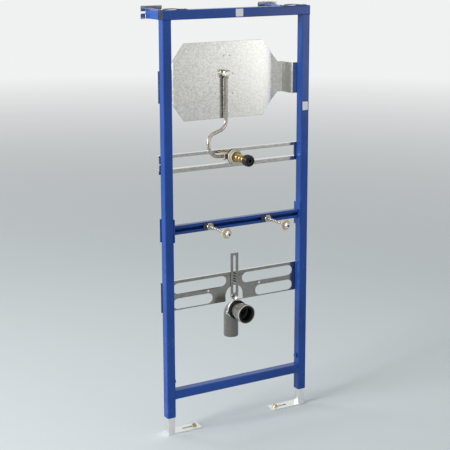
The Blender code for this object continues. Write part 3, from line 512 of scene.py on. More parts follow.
def square_ring(side: float, corner: float) -> list[Point]:
    """Lays out a square with rounded corners round the origin.

    Args:
        side: The square's side.
        corner: The corners' radius.

    Returns:
        The points, anticlockwise.
    """
    reach = side / 2 - corner
    points: list[Point] = []
    for turn, (x, y) in enumerate(((-reach, -reach), (reach, -reach), (reach, reach), (-reach, reach))):
        for step in range(TUBE_STEPS + 1):
            angle = math.pi + (turn + step / TUBE_STEPS) * math.pi / 2
            points.append((x + corner * math.cos(angle), y + corner * math.sin(angle)))
    return points


def to_mesh(name: str, shape: bmesh.types.BMesh, matrix: Matrix, recalculate: bool = True) -> bpy.types.Mesh:
    """Ends a shape in code as a mesh in the frame.

    Args:
        name: The mesh's name.
        shape: The shape, which is freed.
        matrix: Where the shape goes.
        recalculate: Whether to merge its doubles and turn its faces outwards.

    Returns:
        The mesh.
    """
    if recalculate:
        bmesh.ops.remove_doubles(shape, verts=shape.verts, dist=MERGE)
        bmesh.ops.recalc_face_normals(shape, faces=shape.faces)
    mesh = bpy.data.meshes.new(name)
    shape.transform(matrix)
    shape.to_mesh(mesh)
    shape.free()
    return mesh


def loft(
    name: str,
    rings: Sequence[Sequence[Sequence[float]]],
    matrix: Matrix,
    closed: bool,
) -> bpy.types.Mesh:
    """Joins rings of equal count with faces.

    Args:
        name: The mesh's name.
        rings: The rings, each a loop of points.
        matrix: Where the mesh goes.
        closed: Whether the last ring joins the first; otherwise both ends are capped.

    Returns:
        The mesh.
    """
    shape = bmesh.new()
    loops = [[shape.verts.new(point) for point in ring] for ring in rings]
    pairs = list(zip(loops, loops[1:]))
    if closed:
        pairs.append((loops[-1], loops[0]))
    for ring, after in pairs:
        for a, b, c, d in zip(ring, ring[1:] + ring[:1], after[1:] + after[:1], after):
            shape.faces.new((a, b, c, d))
    if not closed:
        shape.faces.new(loops[0])
        shape.faces.new(loops[-1])
    return to_mesh(name, shape, matrix)


def turned(name: str, profile: Sequence[Point], matrix: Matrix, steps: int = ROUND_STEPS) -> bpy.types.Mesh:
    """Turns a profile round its own Z.

    Args:
        name: The mesh's name.
        profile: Radius and height of each point; one that starts off the axis is a closed loop.
        matrix: Where the piece goes.
        steps: Facets round it.

    Returns:
        The mesh.
    """
    shape = bmesh.new()
    ring = [shape.verts.new((radius, 0, height)) for radius, height in profile]
    last = ring[:1] if profile[0][0] > 0 else []
    edges = [shape.edges.new(pair) for pair in zip(ring, ring[1:] + last)]
    bmesh.ops.spin(shape, geom=ring + edges, axis=(0, 0, 1), angle=math.tau, steps=steps, use_merge=True)
    bmesh.ops.remove_doubles(shape, verts=shape.verts, dist=MERGE)
    bmesh.ops.dissolve_degenerate(shape, edges=shape.edges, dist=MERGE)
    return to_mesh(name, shape, matrix)


def hex_nut(name: str, width: float, height: float, bore: float, matrix: Matrix) -> bpy.types.Mesh:
    """Makes a hexagon nut with turned chamfers at both ends.

    Args:
        name: The mesh's name.
        width: Across the flats.
        height: Along its bore.
        bore: The bore's diameter.
        matrix: Where its middle goes.

    Returns:
        The mesh.
    """
    chamfer = width * 0.075
    rings = []
    levels = (
        (-height / 2, 0.94), (-height / 2 + chamfer, 1.3), (height / 2 - chamfer, 1.3),
        (height / 2, 0.94),
    )
    angles = [math.tau * step / ROUND_STEPS for step in range(ROUND_STEPS)]
    for level, limit in levels:
        radii = [width / 2 / math.cos(math.fmod(a, math.pi / 3) - math.pi / 6) for a in angles]
        kept = [min(radius, limit * width / 2) for radius in radii]
        rings.append([(r * math.cos(a), r * math.sin(a), level) for r, a in zip(kept, angles)])
    for level, wide in (
        (height / 2, 1.12), (height / 2 - chamfer, 1.0), (-height / 2 + chamfer, 1.0),
        (-height / 2, 1.12),
    ):
        rings.append([(bore / 2 * wide * math.cos(a), bore / 2 * wide * math.sin(a), level) for a in angles])
    return loft(name, rings, matrix, True)


def settle(piece: bpy.types.Object) -> bpy.types.Object:
    """Turns a piece's modifiers into its plain mesh.

    Args:
        piece: An object at the origin.

    Returns:
        The same object with no modifiers.
    """
    graph = bpy.context.evaluated_depsgraph_get()
    made = bpy.data.meshes.new_from_object(piece.evaluated_get(graph))
    piece.modifiers.clear()
    piece.data = made
    return piece


def piece_from(
    name: str,
    mesh: bpy.types.Mesh,
    finish: Finish,
    stands_for: Iterable[str] = (),
    body: Ride = Ride.FRAME,
    edge: float = 0.0,
    sharp: float = 40.0,
) -> bpy.types.Object:
    """Makes a finished piece of a mesh that is already in place.

    Args:
        name: The piece's name.
        mesh: Its mesh, in the frame.
        finish: What it is made of.
        stands_for: The solids that it takes the place of.
        body: The body that it rides on.
        edge: How far its sharp edges are rounded.
        sharp: The angle in degrees from which an edge stays sharp.

    Returns:
        The piece.
    """
    piece = bpy.data.objects.new(name, mesh)
    bpy.context.scene.collection.objects.link(piece)
    mesh.materials.clear()
    mesh.materials.append(finish.material())
    mesh.shade_smooth()
    mesh.set_sharp_from_angle(angle=math.radians(sharp))
    if edge > 0:
        bevel = piece.modifiers.new("rounded", "BEVEL")
        bevel.width = edge
        bevel.segments = 2
        bevel.limit_method = "ANGLE"
        bevel.angle_limit = math.radians(sharp)
        bevel.use_clamp_overlap = True
    flat = piece.modifiers.new("flat faces", "WEIGHTED_NORMAL")
    flat.keep_sharp = edge == 0
    settle(piece)
    piece.data.name = name
    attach(piece, body.value)
    if stands_for:
        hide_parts(*stands_for)
    LOG.info("made %s", name)
    return piece


def softened(node: str, finish: Finish, edge: float, body: Ride = Ride.FRAME) -> bpy.types.Object:
    """Puts a merged copy with rounded edges, marked rims, and tops marked for a painted highlight in a
    solid's place.

    Args:
        node: The solid's name.
        finish: What it is made of.
        edge: How far its edges are rounded.
        body: The body that it rides on.

    Returns:
        The piece.
    """
    shape = bmesh.new()
    shape.from_mesh(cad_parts[node].data)
    bmesh.ops.remove_doubles(shape, verts=shape.verts, dist=MERGE)
    bmesh.ops.dissolve_limit(shape, angle_limit=math.radians(0.5), verts=shape.verts, edges=shape.edges)
    cut, painted_top_highlight = (shape.faces.layers.float.new(label) for label in ("cut", "painted_top_highlight"))
    for face in shape.faces:
        narrow = face.calc_area() < SHEET_EDGE * max(edge.calc_length() for edge in face.edges)
        # Broad up-facing faces are marked for the painted top highlight.
        face[cut], face[painted_top_highlight] = float(narrow), float(face.normal.z > 0.9 and not narrow)
    mesh = to_mesh(node + "_finish", shape, Matrix.Identity(4), False)
    return piece_from(node + "_finish", mesh, finish, [node], body, edge)


def tube(node: str, finish: Finish, wall: float, corner: float, body: Ride = Ride.FRAME) -> bpy.types.Object:
    """Draws a square tube with fine rounded corners into the room of its solid.

    Args:
        node: The solid's name.
        finish: What it is made of.
        wall: The tube's wall.
        corner: The outer corners' radius.
        body: The body that it rides on.

    Returns:
        The piece.
    """
    low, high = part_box(node)
    size = high - low
    run = max(range(3), key=lambda axis: size[axis])
    side = min(size)
    facing = (Facing.RIGHT, Facing.FRONT, Facing.UP)[run]
    outer, inner = square_ring(side, corner), square_ring(side - 2 * wall, max(corner - wall, wall / 3))
    ends = (-size[run] / 2, size[run] / 2)
    rings = [[(x, y, end) for x, y in outer] for end in ends]
    rings += [[(x, y, end) for x, y in inner] for end in reversed(ends)]
    mesh = loft(node + "_finish", rings, facing.at((low + high) / 2), True)
    return piece_from(node + "_finish", mesh, finish, [node], body, 0.0003, 50.0)


class Graph(NodeSheet):
    """A Geometry Nodes tree with named inputs, which takes a mesh and gives a plain one back."""

    def __init__(self, name: str) -> None:
        """Starts a tree with a geometry at each end.

        Args:
            name: The tree's name.
        """
        super().__init__(bpy.data.node_groups.new(name, "GeometryNodeTree"))
        self.sockets: dict[str, str] = {}
        for way in ("INPUT", "OUTPUT"):
            self.tree.interface.new_socket("Geometry", in_out=way, socket_type="NodeSocketGeometry")
        self.entry = self.tree.nodes.new("NodeGroupInput")
        self.exit = self.tree.nodes.new("NodeGroupOutput")

    def size(self, name: str, kind: str = "NodeSocketFloat") -> bpy.types.NodeSocket:
        """Adds a named input.

        Args:
            name: The input's name.
            kind: The type of its socket.

        Returns:
            Its socket inside the tree.
        """
        item = self.tree.interface.new_socket(name, in_out="INPUT", socket_type=kind)
        self.sockets[name] = item.identifier
        return self.entry.outputs[name]

    def close(self, geometry: bpy.types.NodeSocket) -> None:
        """Ends the tree in real meshes of one material.

        Args:
            geometry: The last geometry, which may hold instances.
        """
        whole = self.add("GeometryNodeRealizeInstances", None, {0: geometry})
        values = {"Geometry": whole.outputs[0], "Material": self.size("Material", "NodeSocketMaterial")}
        dressed = self.add("GeometryNodeSetMaterial", None, values)
        self.feed(self.exit.inputs[0], dressed.outputs[0])

    def grow(
        self,
        name: str,
        start: bpy.types.Mesh,
        finish: Finish,
        sizes: dict[str, Any],
        matrix: Matrix,
    ) -> bpy.types.Mesh:
        """Runs the tree.

        Args:
            name: The result's name.
            start: The mesh that goes in.
            finish: The material of what comes out.
            sizes: A value for each named input but the material.
            matrix: Where the result goes.

        Returns:
            A plain mesh in place.
        """
        holder = bpy.data.objects.new(name, start)
        bpy.context.scene.collection.objects.link(holder)
        modifier = holder.modifiers.new("nodes", "NODES")
        modifier.node_group = self.tree
        for label, value in {**sizes, "Material": finish.material()}.items():
            modifier[self.sockets[label]] = value
        graph = bpy.context.evaluated_depsgraph_get()
        made = bpy.data.meshes.new_from_object(holder.evaluated_get(graph))
        bpy.data.objects.remove(holder, do_unlink=True)
        made.transform(matrix)
        return made


class ThreadGraph(Graph):
    """A screw thread: a diamond section swept along a helix round Z, from height 0 up."""

    def __init__(self) -> None:
        """Builds the tree."""
        super().__init__("thread")
        core, depth = self.size("Core"), self.size("Depth")
        pitch, length = Level(self, self.size("Pitch")), Level(self, self.size("Length"))
        values = {"Resolution": 24, "Rotations": length / pitch, "Start Radius": core, "End Radius": core}
        helix = self.add("GeometryNodeCurveSpiral", None, {**values, "Height": length})
        section = self.add(
            "GeometryNodeCurvePrimitiveCircle", {"mode": "RADIUS"}, {"Resolution": 4, "Radius": depth},
        )
        values = {"Curve": helix.outputs[0], "Profile Curve": section.outputs[0], "Fill Caps": True}
        swept = self.add("GeometryNodeCurveToMesh", None, values)
        self.close(swept.outputs[0])


class RibGraph(Graph):
    """Ribs round a circle: small blocks that stand out from it, each turned to face away."""

    def __init__(self) -> None:
        """Builds the tree."""
        super().__init__("ribs")
        count, radius = self.size("Count", "NodeSocketInt"), self.size("Radius")
        block = self.size("Block", "NodeSocketVector")
        ring = self.add("GeometryNodeMeshCircle", None, {"Vertices": count, "Radius": radius})
        spot = self.add("GeometryNodeInputPosition")
        turn = self.add("FunctionNodeAlignRotationToVector", {"axis": "X"}, {"Vector": spot.outputs[0]})
        rib = self.add("GeometryNodeMeshCube", None, {"Size": block})
        values = {"Points": ring.outputs[0], "Instance": rib.outputs[0], "Rotation": turn.outputs[0]}
        self.close(self.add("GeometryNodeInstanceOnPoints", None, values).outputs[0])


class ScatterGraph(Graph):
    """Copies of one small piece, set at each point of the mesh that goes in."""

    def __init__(self) -> None:
        """Builds the tree."""
        super().__init__("scattered")
        piece = self.size("Piece", "NodeSocketObject")
        info = self.add("GeometryNodeObjectInfo", {"transform_space": "ORIGINAL"}, {"Object": piece})
        values = {"Points": self.entry.outputs["Geometry"], "Instance": info.outputs["Geometry"]}
        self.close(self.add("GeometryNodeInstanceOnPoints", None, values).outputs[0])

    def spread(
        self,
        name: str,
        piece: bpy.types.Mesh,
        spots: Sequence[Sequence[float]],
        finish: Finish,
    ) -> bpy.types.Mesh:
        """Sets a piece at several spots.

        Args:
            name: The result's name.
            piece: The piece's mesh, round the origin and turned the right way.
            spots: Where the copies go.
            finish: What they are made of.

        Returns:
            One mesh of all the copies.
        """
        points = bpy.data.meshes.new(name + "_spots")
        points.from_pydata([tuple(spot) for spot in spots], [], [])
        pattern = bpy.data.objects.new(name + "_pattern", piece)
        bpy.context.scene.collection.objects.link(pattern)
        made = self.grow(name, points, finish, {"Piece": pattern}, Matrix.Identity(4))
        bpy.data.objects.remove(pattern, do_unlink=True)
        return made


class SeamGraph(Graph):
    """A weld seam: flattened beads of uneven size along the edges of the mesh that goes in."""

    def __init__(self) -> None:
        """Builds the tree."""
        super().__init__("seam")
        step, radius = self.size("Step"), self.size("Radius")
        path = self.add("GeometryNodeMeshToCurve", None, {0: self.entry.outputs["Geometry"]})
        spaced = self.add(
            "GeometryNodeResampleCurve", {"mode": "LENGTH"},
            {"Curve": path.outputs[0], "Length": step},
        )
        bead = self.add("GeometryNodeMeshIcoSphere", None, {"Radius": radius, "Subdivisions": 2})
        uneven = self.add("FunctionNodeRandomValue", {"data_type": "FLOAT"}, {2: 0.75, 3: 1.1, 8: 7})
        values = {"Points": spaced.outputs[0], "Instance": bead.outputs[0], "Scale": uneven.outputs[1]}
        self.close(self.add("GeometryNodeInstanceOnPoints", None, values).outputs[0])


@dataclass
class Workshop:
    """The trees that several assemblies share."""

    thread: ThreadGraph = field(default_factory=ThreadGraph)
    ribs: RibGraph = field(default_factory=RibGraph)
    scatter: ScatterGraph = field(default_factory=ScatterGraph)
    seam: SeamGraph = field(default_factory=SeamGraph)

    def seam_round(
        self,
        name: str,
        centre: Vector,
        across: Vector,
        along: Vector,
        size: Point,
        body: Ride = Ride.FRAME,
        finish: Finish = BLUE,
    ) -> None:
        """Lays a weld seam round a rectangle.

        Args:
            name: The seam's name.
            centre: The rectangle's middle.
            across: The direction of its first side.
            along: The direction of its second side.
            size: Its two sides.
            body: The body that it rides on.
            finish: What covers it.
        """
        start = bpy.data.meshes.new(name + "_path")
        corners = [(-1, -1), (1, -1), (1, 1), (-1, 1)]
        points = [tuple(centre + across * (size[0] / 2 * a) + along * (size[1] / 2 * b)) for a, b in corners]
        start.from_pydata(points, [(0, 1), (1, 2), (2, 3), (3, 0)], [])
        sizes = {"Step": 0.0016, "Radius": 0.0011}
        mesh = self.seam.grow(name, start, finish, sizes, Matrix.Identity(4))
        piece_from(name, mesh, finish, (), body)

    def threaded(
        self,
        name: str,
        radius: float,
        depth: float,
        pitch: float,
        length: float,
        matrix: Matrix,
        finish: Finish,
    ) -> None:
        """Cuts a thread on a rod.

        Args:
            name: The thread's name.
            radius: The crest's radius.
            depth: How deep it is cut.
            pitch: From crest to crest.
            length: How far it runs.
            matrix: Where it starts, and its direction.
            finish: What it is made of.
        """
        sizes = {"Core": radius - depth, "Depth": depth, "Pitch": pitch, "Length": length}
        mesh = self.thread.grow(name, bpy.data.meshes.new(name + "_start"), finish, sizes, matrix)
        piece_from(name, mesh, finish, sharp=70.0)


def home() -> Vector:
    """Returns the frame's front left top corner, from which places are measured."""
    low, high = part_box("top_rail")
    return Vector((low.x, low.y, high.z))


def spot(x: float, y: float, drop: float) -> Vector:
    """Returns a place in the frame.

    Args:
        x: To the right of the frame's left side.
        y: Behind its front.
        drop: Below its top.
    """
    return home() + Vector((x, y, -drop))


def middle(node: str) -> Vector:
    """Returns the middle of a solid's box."""
    low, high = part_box(node)
    return (low + high) / 2


def rod(name: str, route: Sequence[Vector], radius: float) -> bpy.types.Mesh:
    """Draws a round pipe along a route.

    Args:
        name: The mesh's name.
        route: The points that it follows.
        radius: Its radius.

    Returns:
        The mesh.
    """
    data = bpy.data.curves.new(name, "CURVE")
    data.dimensions = "3D"
    data.bevel_depth = radius
    data.bevel_resolution = 6
    data.use_fill_caps = True
    spline = data.splines.new("POLY")
    spline.points.add(len(route) - 1)
    for point, place in zip(spline.points, route):
        point.co = (*place, 1.0)
    holder = bpy.data.objects.new(name, data)
    bpy.context.scene.collection.objects.link(holder)
    graph = bpy.context.evaluated_depsgraph_get()
    mesh = bpy.data.meshes.new_from_object(holder.evaluated_get(graph))
    bpy.data.objects.remove(holder, do_unlink=True)
    return mesh


def round_route(points: Sequence[Vector], radius: float, steps: int = 16) -> list[Vector]:
    """Replaces each inner corner of a route by an arc.

    Args:
        points: The corners.
        radius: The arcs' radius.
        steps: Stretches of each arc.

    Returns:
        The rounded route.
    """
    route = [points[0]]
    for before, corner, after in zip(points, points[1:], points[2:]):
        back, ahead = (before - corner).normalized(), (after - corner).normalized()
        half = back.angle(ahead) / 2
        centre = corner + (back + ahead).normalized() * (radius / math.sin(half))
        first = (corner + back * (radius / math.tan(half)) - centre).normalized()
        final = (corner + ahead * (radius / math.tan(half)) - centre).normalized()
        route += [centre + first.slerp(final, step / steps) * radius for step in range(steps + 1)]
    return route + [points[-1]]


def round_head(name: str, radius: float, height: float, facing: Facing, slot: float = 0.35) -> bpy.types.Mesh:
    """Makes a low domed screw head with a dished middle, its seat at the origin.

    Args:
        name: The mesh's name.
        radius: The head's radius.
        height: How far it stands out.
        facing: The way it points.
        slot: The dish's share of the radius.

    Returns:
        The mesh.
    """
    profile = [(0.0, -height * 0.3), (radius, -height * 0.3), (radius, height * 0.35)]
    profile += [(radius * 0.82, height * 0.82), (radius * 0.5, height), (radius * slot, height)]
    profile += [(radius * slot * 0.8, height * 0.45), (0.0, height * 0.4)]
    return turned(name, profile, facing.at((0, 0, 0)), 20)


def hex_head(name: str, width: float, height: float, matrix: Matrix) -> bpy.types.Mesh:
    """Makes a closed hexagon head with turned chamfers.

    Args:
        name: The mesh's name.
        width: Across the flats.
        height: Along its axis.
        matrix: Where its middle goes.

    Returns:
        The mesh.
    """
    angles = [math.tau * step / ROUND_STEPS for step in range(ROUND_STEPS)]
    radii = [width / 2 / math.cos(math.fmod(a, math.pi / 3) - math.pi / 6) for a in angles]
    rings = []
    for level, limit in ((-0.5, 1.3), (0.34, 1.3), (0.5, 0.92), (0.5, 0.60), (0.40, 0.54)):
        kept = [min(radius, limit * width / 2) for radius in radii]
        rings.append([(r * math.cos(a), r * math.sin(a), level * height) for r, a in zip(kept, angles)])
    return loft(name, rings, matrix, False)


@dataclass
class TubeFrame:
    """The welded frame of blue square tube with its end plugs, seams and bare labels."""

    shop: Workshop
    wall: float = 0.0015
    corner: float = 0.003
    side: float = 0.030
    width: float = 0.540
    plug: float = 0.0262
    rail_drop: float = 1.229
    labels: tuple[tuple[str, float, float, float, float], ...] = (
        ("label_on_rail", 0.2722, 0.015, 0.027, 0.024),
        ("label_on_upright", 0.525, 0.3285, 0.021, 0.028),
    )

    def build(self) -> None:
        """Draws the tubes."""
        for node in ("top_rail", "upright_left", "upright_right", "bottom_rail"):
            tube(node, BLUE, self.wall, self.corner)

    def dress(self) -> None:
        """Adds the plugs in the rail's ends, the weld seams and the labels."""
        half = self.side / 2
        for label, x in (("left", 0.0006), ("right", self.width - 0.0036)):
            rings = [[(px, py, z) for px, py in square_ring(self.plug, 0.002)] for z in (0.0, 0.003)]
            mesh = loft("rail_plug_" + label, rings, Facing.RIGHT.at(spot(x, half, half)), False)
            piece_from("rail_plug_" + label, mesh, BLACK, edge=0.0004)
        along_x, along_y, along_z = Vector((1, 0, 0)), Vector((0, 1, 0)), Vector((0, 0, 1))
        size = (self.side - 0.001, self.side - 0.001)
        for label, x in (("left", self.side), ("right", self.width - self.side)):
            spot_low = spot(x, half, self.rail_drop + half)
            self.shop.seam_round("rail_seam_" + label, spot_low, along_y, along_z, size)
            x_top = x - half if label == "left" else x + half
            spot_top = spot(x_top, half, self.side)
            self.shop.seam_round("upright_seam_" + label, spot_top, along_x, along_y, size)
        for name, x, drop, wide, tall in self.labels:
            self._label(name, spot(x, 0.0, drop), wide, tall)

    @staticmethod
    def _label(name: str, centre: Vector, wide: float, tall: float) -> None:
        """Sticks a bare label on a front face.

        Args:
            name: The label's name.
            centre: Its middle on the face.
            wide: Its width.
            tall: Its height.
        """
        outline = square_ring(1.0, 0.06)
        rings = [[(x * wide, y * tall, z) for x, y in outline] for z in (0.0, 0.0003)]
        piece_from(name, loft(name, rings, Facing.FRONT.at(centre), False), LABEL, edge=0.0001)


@dataclass
class WallArms:
    """The arms on the back of the rail, their forked brackets and the dark clips beside them."""

    shop: Workshop
    wall: float = 0.0015
    corner: float = 0.003
    side: float = 0.030
    head: float = 0.0042
    clip_top: float = 0.0023
    clip_screws: tuple[float, float] = (0.006, 0.082)

    def build(self) -> None:
        """Draws the arms, brackets and clips."""
        for label in ("left", "right"):
            tube("wall_arm_" + label, BLUE, self.wall, self.corner)
            # The brackets take the darker zinc copy: painted shade.
            softened("wall_bracket_" + label, ZINC_SHADE, 0.0005)
            softened("arm_clip_" + label, DARK_STEEL_AND_SHADE, 0.0003)

    def dress(self) -> None:
        """Adds the seams on the rail and the brackets, and the clips' screws."""
        size = (self.side - 0.001, self.side - 0.001)
        screw = round_head("clip_screw", self.head, 0.0018, Facing.UP)
        for label in ("left", "right"):
            low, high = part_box("wall_arm_" + label)
            centre = (low + high) / 2
            for end, y in (("rail", low.y), ("bracket", high.y)):
                at = Vector((centre.x, y, centre.z))
                name = f"arm_seam_{end}_{label}"
                finish = BLUE if end == "rail" else ZINC
                self.shop.seam_round(name, at, Vector((1, 0, 0)), Vector((0, 0, 1)), size, finish=finish)
            x = low.x - home().x
            spots = [spot(x + step, self.side / 2, -self.clip_top) for step in self.clip_screws]
            mesh = self.shop.scatter.spread("clip_screws_" + label, screw.copy(), spots, ZINC)
            piece_from("clip_screws_" + label, mesh, ZINC)


@dataclass
class ValvePlate:
    """The folded octagon of zinc sheet with its pressed pins."""

    shop: Workshop
    pins: tuple[Point, ...] = (
        (0.271, 0.157), (0.291, 0.157), (0.2355, 0.217), (0.304, 0.217), (0.2355, 0.2805),
        (0.304, 0.2805),
    )
    face_y: float = 0.0953

    def build(self) -> None:
        """Rounds the sheet's edges."""
        softened("valve_plate", ZINC, 0.0006)

    def dress(self) -> None:
        """Adds the pins on the face."""
        pin = round_head("pin", 0.0034, 0.0022, Facing.FRONT, 0.3)
        spots = [spot(x, self.face_y, drop) for x, drop in self.pins]
        piece_from("plate_pins", self.shop.scatter.spread("plate_pins", pin, spots, ZINC_FOOT), ZINC_FOOT)


@dataclass
class FlushPipe:
    """The bent nickel pipe with its union nut, ferrule and inlet nut."""

    diameter: float = 0.012
    straight_drop: float = 0.392
    swing: float = 0.078
    swing_drop: float = 0.412
    swing_share: float = 0.6
    radius: float = 0.034

    def build(self) -> None:
        """Draws the pipe from the union nut to the inlet nut."""
        top, end = middle("union_nut"), middle("inlet_nut")
        swing_y = top.y + (end.y - top.y) * self.swing_share
        high, low = spot(0, 0, self.straight_drop).z, spot(0, 0, self.swing_drop).z
        corners = [
            top,
            Vector((top.x, top.y, high)),
            Vector((top.x - self.swing, swing_y, low)),
            Vector((top.x - self.swing, end.y, end.z)),
            end,
        ]
        mesh = rod("flush_pipe_finish", round_route(corners, self.radius), self.diameter / 2)
        piece_from("flush_pipe_finish", mesh, NICKEL, ["flush_pipe"])

    def dress(self) -> None:
        """Makes the nuts with their chamfers and the ferrule with its rings."""
        for node, facing in (("union_nut", Facing.UP), ("inlet_nut", Facing.RIGHT)):
            low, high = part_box(node)
            size = high - low
            height = size.z if facing is Facing.UP else size.x
            mesh = hex_nut(
                node + "_finish", size.y, height, self.diameter + 0.0006, facing.at((low + high) / 2),
            )
            piece_from(node + "_finish", mesh, PALE_NICKEL, [node], sharp=24.0)
        self._washer()
        self._ferrule()

    @staticmethod
    def _washer() -> None:
        """Lays the union's bright washer on its nut."""
        low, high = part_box("union_nut")
        radius = (high.x - low.x) / 2
        profile = [
            (0.0, 0.0), (radius - 0.0006, 0.0), (radius, 0.0006), (radius, 0.0018),
            (radius - 0.0006, 0.0024),
        ]
        profile += [(0.0078, 0.0024), (0.0074, 0.0032), (0.0, 0.0032)]
        at = Facing.UP.at(((low.x + high.x) / 2, (low.y + high.y) / 2, high.z))
        piece_from("union_washer", turned("union_washer", profile, at), NICKEL)

    def _ferrule(self) -> None:
        """Turns the ferrule with its rings."""
        low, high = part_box("pipe_ferrule")
        radius, tall = (high.x - low.x) / 2, high.z - low.z
        bore = self.diameter / 2 + 0.0003
        profile = [(bore, 0.0), (radius, 0.0), (radius, -tall * 0.25), (radius * 0.90, -tall * 0.32)]
        profile += [
            (radius * 0.90, -tall * 0.55), (radius * 0.95, -tall * 0.6), (radius * 0.95, -tall * 0.72),
        ]
        profile += [(radius * 0.78, -tall), (bore, -tall)]
        at = Facing.UP.at(((low.x + high.x) / 2, (low.y + high.y) / 2, high.z))
        piece_from(
            "pipe_ferrule_finish", turned("pipe_ferrule_finish", profile, at), NICKEL,
            ["pipe_ferrule"],
        )


@dataclass
class WaterInlet:
    """Two hooked rails with the seal, guide disc, threaded brass body and ribbed plug between them."""

    shop: Workshop
    stub: float = 0.013
    stub_core: float = 0.0115
    bore: float = 0.008
    collar: float = 0.015
    pitch: float = 0.0018
    ribs: int = 44

    def build(self) -> None:
        """Rounds the rails and turns the round pieces."""
        for node in ("inlet_rail_upper", "inlet_rail_lower", "inlet_rail_end_left", "inlet_rail_end_right"):
            # The rails take the darker zinc copy: painted shade.
            softened(node, ZINC_SHADE, 0.0004)
        self._ring("inlet_seal_ring", RUBBER, ((0.0, 0.93), (0.25, 1.0), (0.75, 1.0), (1.0, 0.93)))
        stepped = (
            (0.0, 1.0), (0.50, 1.0), (0.56, 0.965), (0.57, 0.80), (0.95, 0.79), (1.0, 0.76),
            (1.0, 0.70), (0.72, 0.67),
        )
        self._ring("inlet_guide_disc", CREAM, stepped)

    def _ring(self, node: str, finish: Finish, profile: Sequence[Point]) -> None:
        """Turns a ring into the room of its solid.

        Args:
            node: The solid's name.
            finish: What it is made of.
            profile: Share of the depth from the back, and share of the outer radius.
        """
        low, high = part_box(node)
        depth, radius = high.y - low.y, (high.x - low.x) / 2
        bore = self.collar + 0.0003
        points = [(bore, 0.0)] + [(radius * wide, depth * share) for share, wide in profile]
        points.append((bore, depth * profile[-1][0]))
        at = Facing.FRONT.at(((low.x + high.x) / 2, high.y, (low.z + high.z) / 2))
        piece_from(node + "_finish", turned(node + "_finish", points, at), finish, [node])

    def dress(self) -> None:
        """Makes the brass body with its thread, and the plug with its ribs."""
        low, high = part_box("inlet_body")
        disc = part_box("inlet_guide_disc")[0].y
        long, neck = high.y - low.y, high.y - disc
        at = Facing.FRONT.at((middle("inlet_body").x, high.y, middle("inlet_body").z))
        profile = [(0.0, 0.0), (self.collar - 0.001, 0.0), (self.collar, 0.001), (self.collar, neck)]
        profile += [(self.stub_core, neck), (self.stub_core, long - 0.001), (self.stub_core - 0.001, long)]
        profile += [(self.bore, long), (self.bore, neck), (0.0, neck)]
        piece_from("inlet_body_finish", turned("inlet_body_finish", profile, at), BRASS, ["inlet_body"])
        depth = self.stub - self.stub_core
        start = at @ Matrix.Translation((0, 0, neck + depth))
        run = long - neck - 2.5 * depth
        self.shop.threaded("inlet_thread", self.stub, depth, self.pitch, run, start, BRASS)
        self._plug()

    def _plug(self) -> None:
        """Makes the plug: a cap with a groove and a hole in its face, and ribs round it."""
        low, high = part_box("inlet_plug")
        radius, depth = (high.x - low.x) / 2, high.y - low.y
        body = radius - 0.0008
        at = Facing.FRONT.at(((low.x + high.x) / 2, high.y, (low.z + high.z) / 2))
        profile = [
            (0.0, 0.0), (body - 0.001, 0.0), (body, 0.001), (body, depth - 0.0045),
            (body - 0.0006, depth - 0.0032),
        ]
        profile += [
            (body - 0.0026, depth - 0.0008), (body - 0.0040, depth), (0.0125, depth),
            (0.0118, depth - 0.0022),
        ]
        profile += [
            (0.0098, depth - 0.0022), (0.0092, depth - 0.0006), (0.0056, depth - 0.0008),
            (0.0050, depth - 0.0016),
        ]
        profile += [(0.0048, depth - 0.012), (0.0, depth - 0.012)]
        piece_from("inlet_plug_finish", turned("inlet_plug_finish", profile, at), BLACK, ["inlet_plug"])
        sizes = {"Count": self.ribs, "Radius": body, "Block": (0.0014, 0.0011, depth - 0.0085)}
        place = at @ Matrix.Translation((0, 0, (depth - 0.0045) / 2))
        mesh = self.shop.ribs.grow("plug_ribs", bpy.data.meshes.new("ribs_start"), BLACK, sizes, place)
        piece_from("plug_ribs", mesh, BLACK, edge=0.0003)


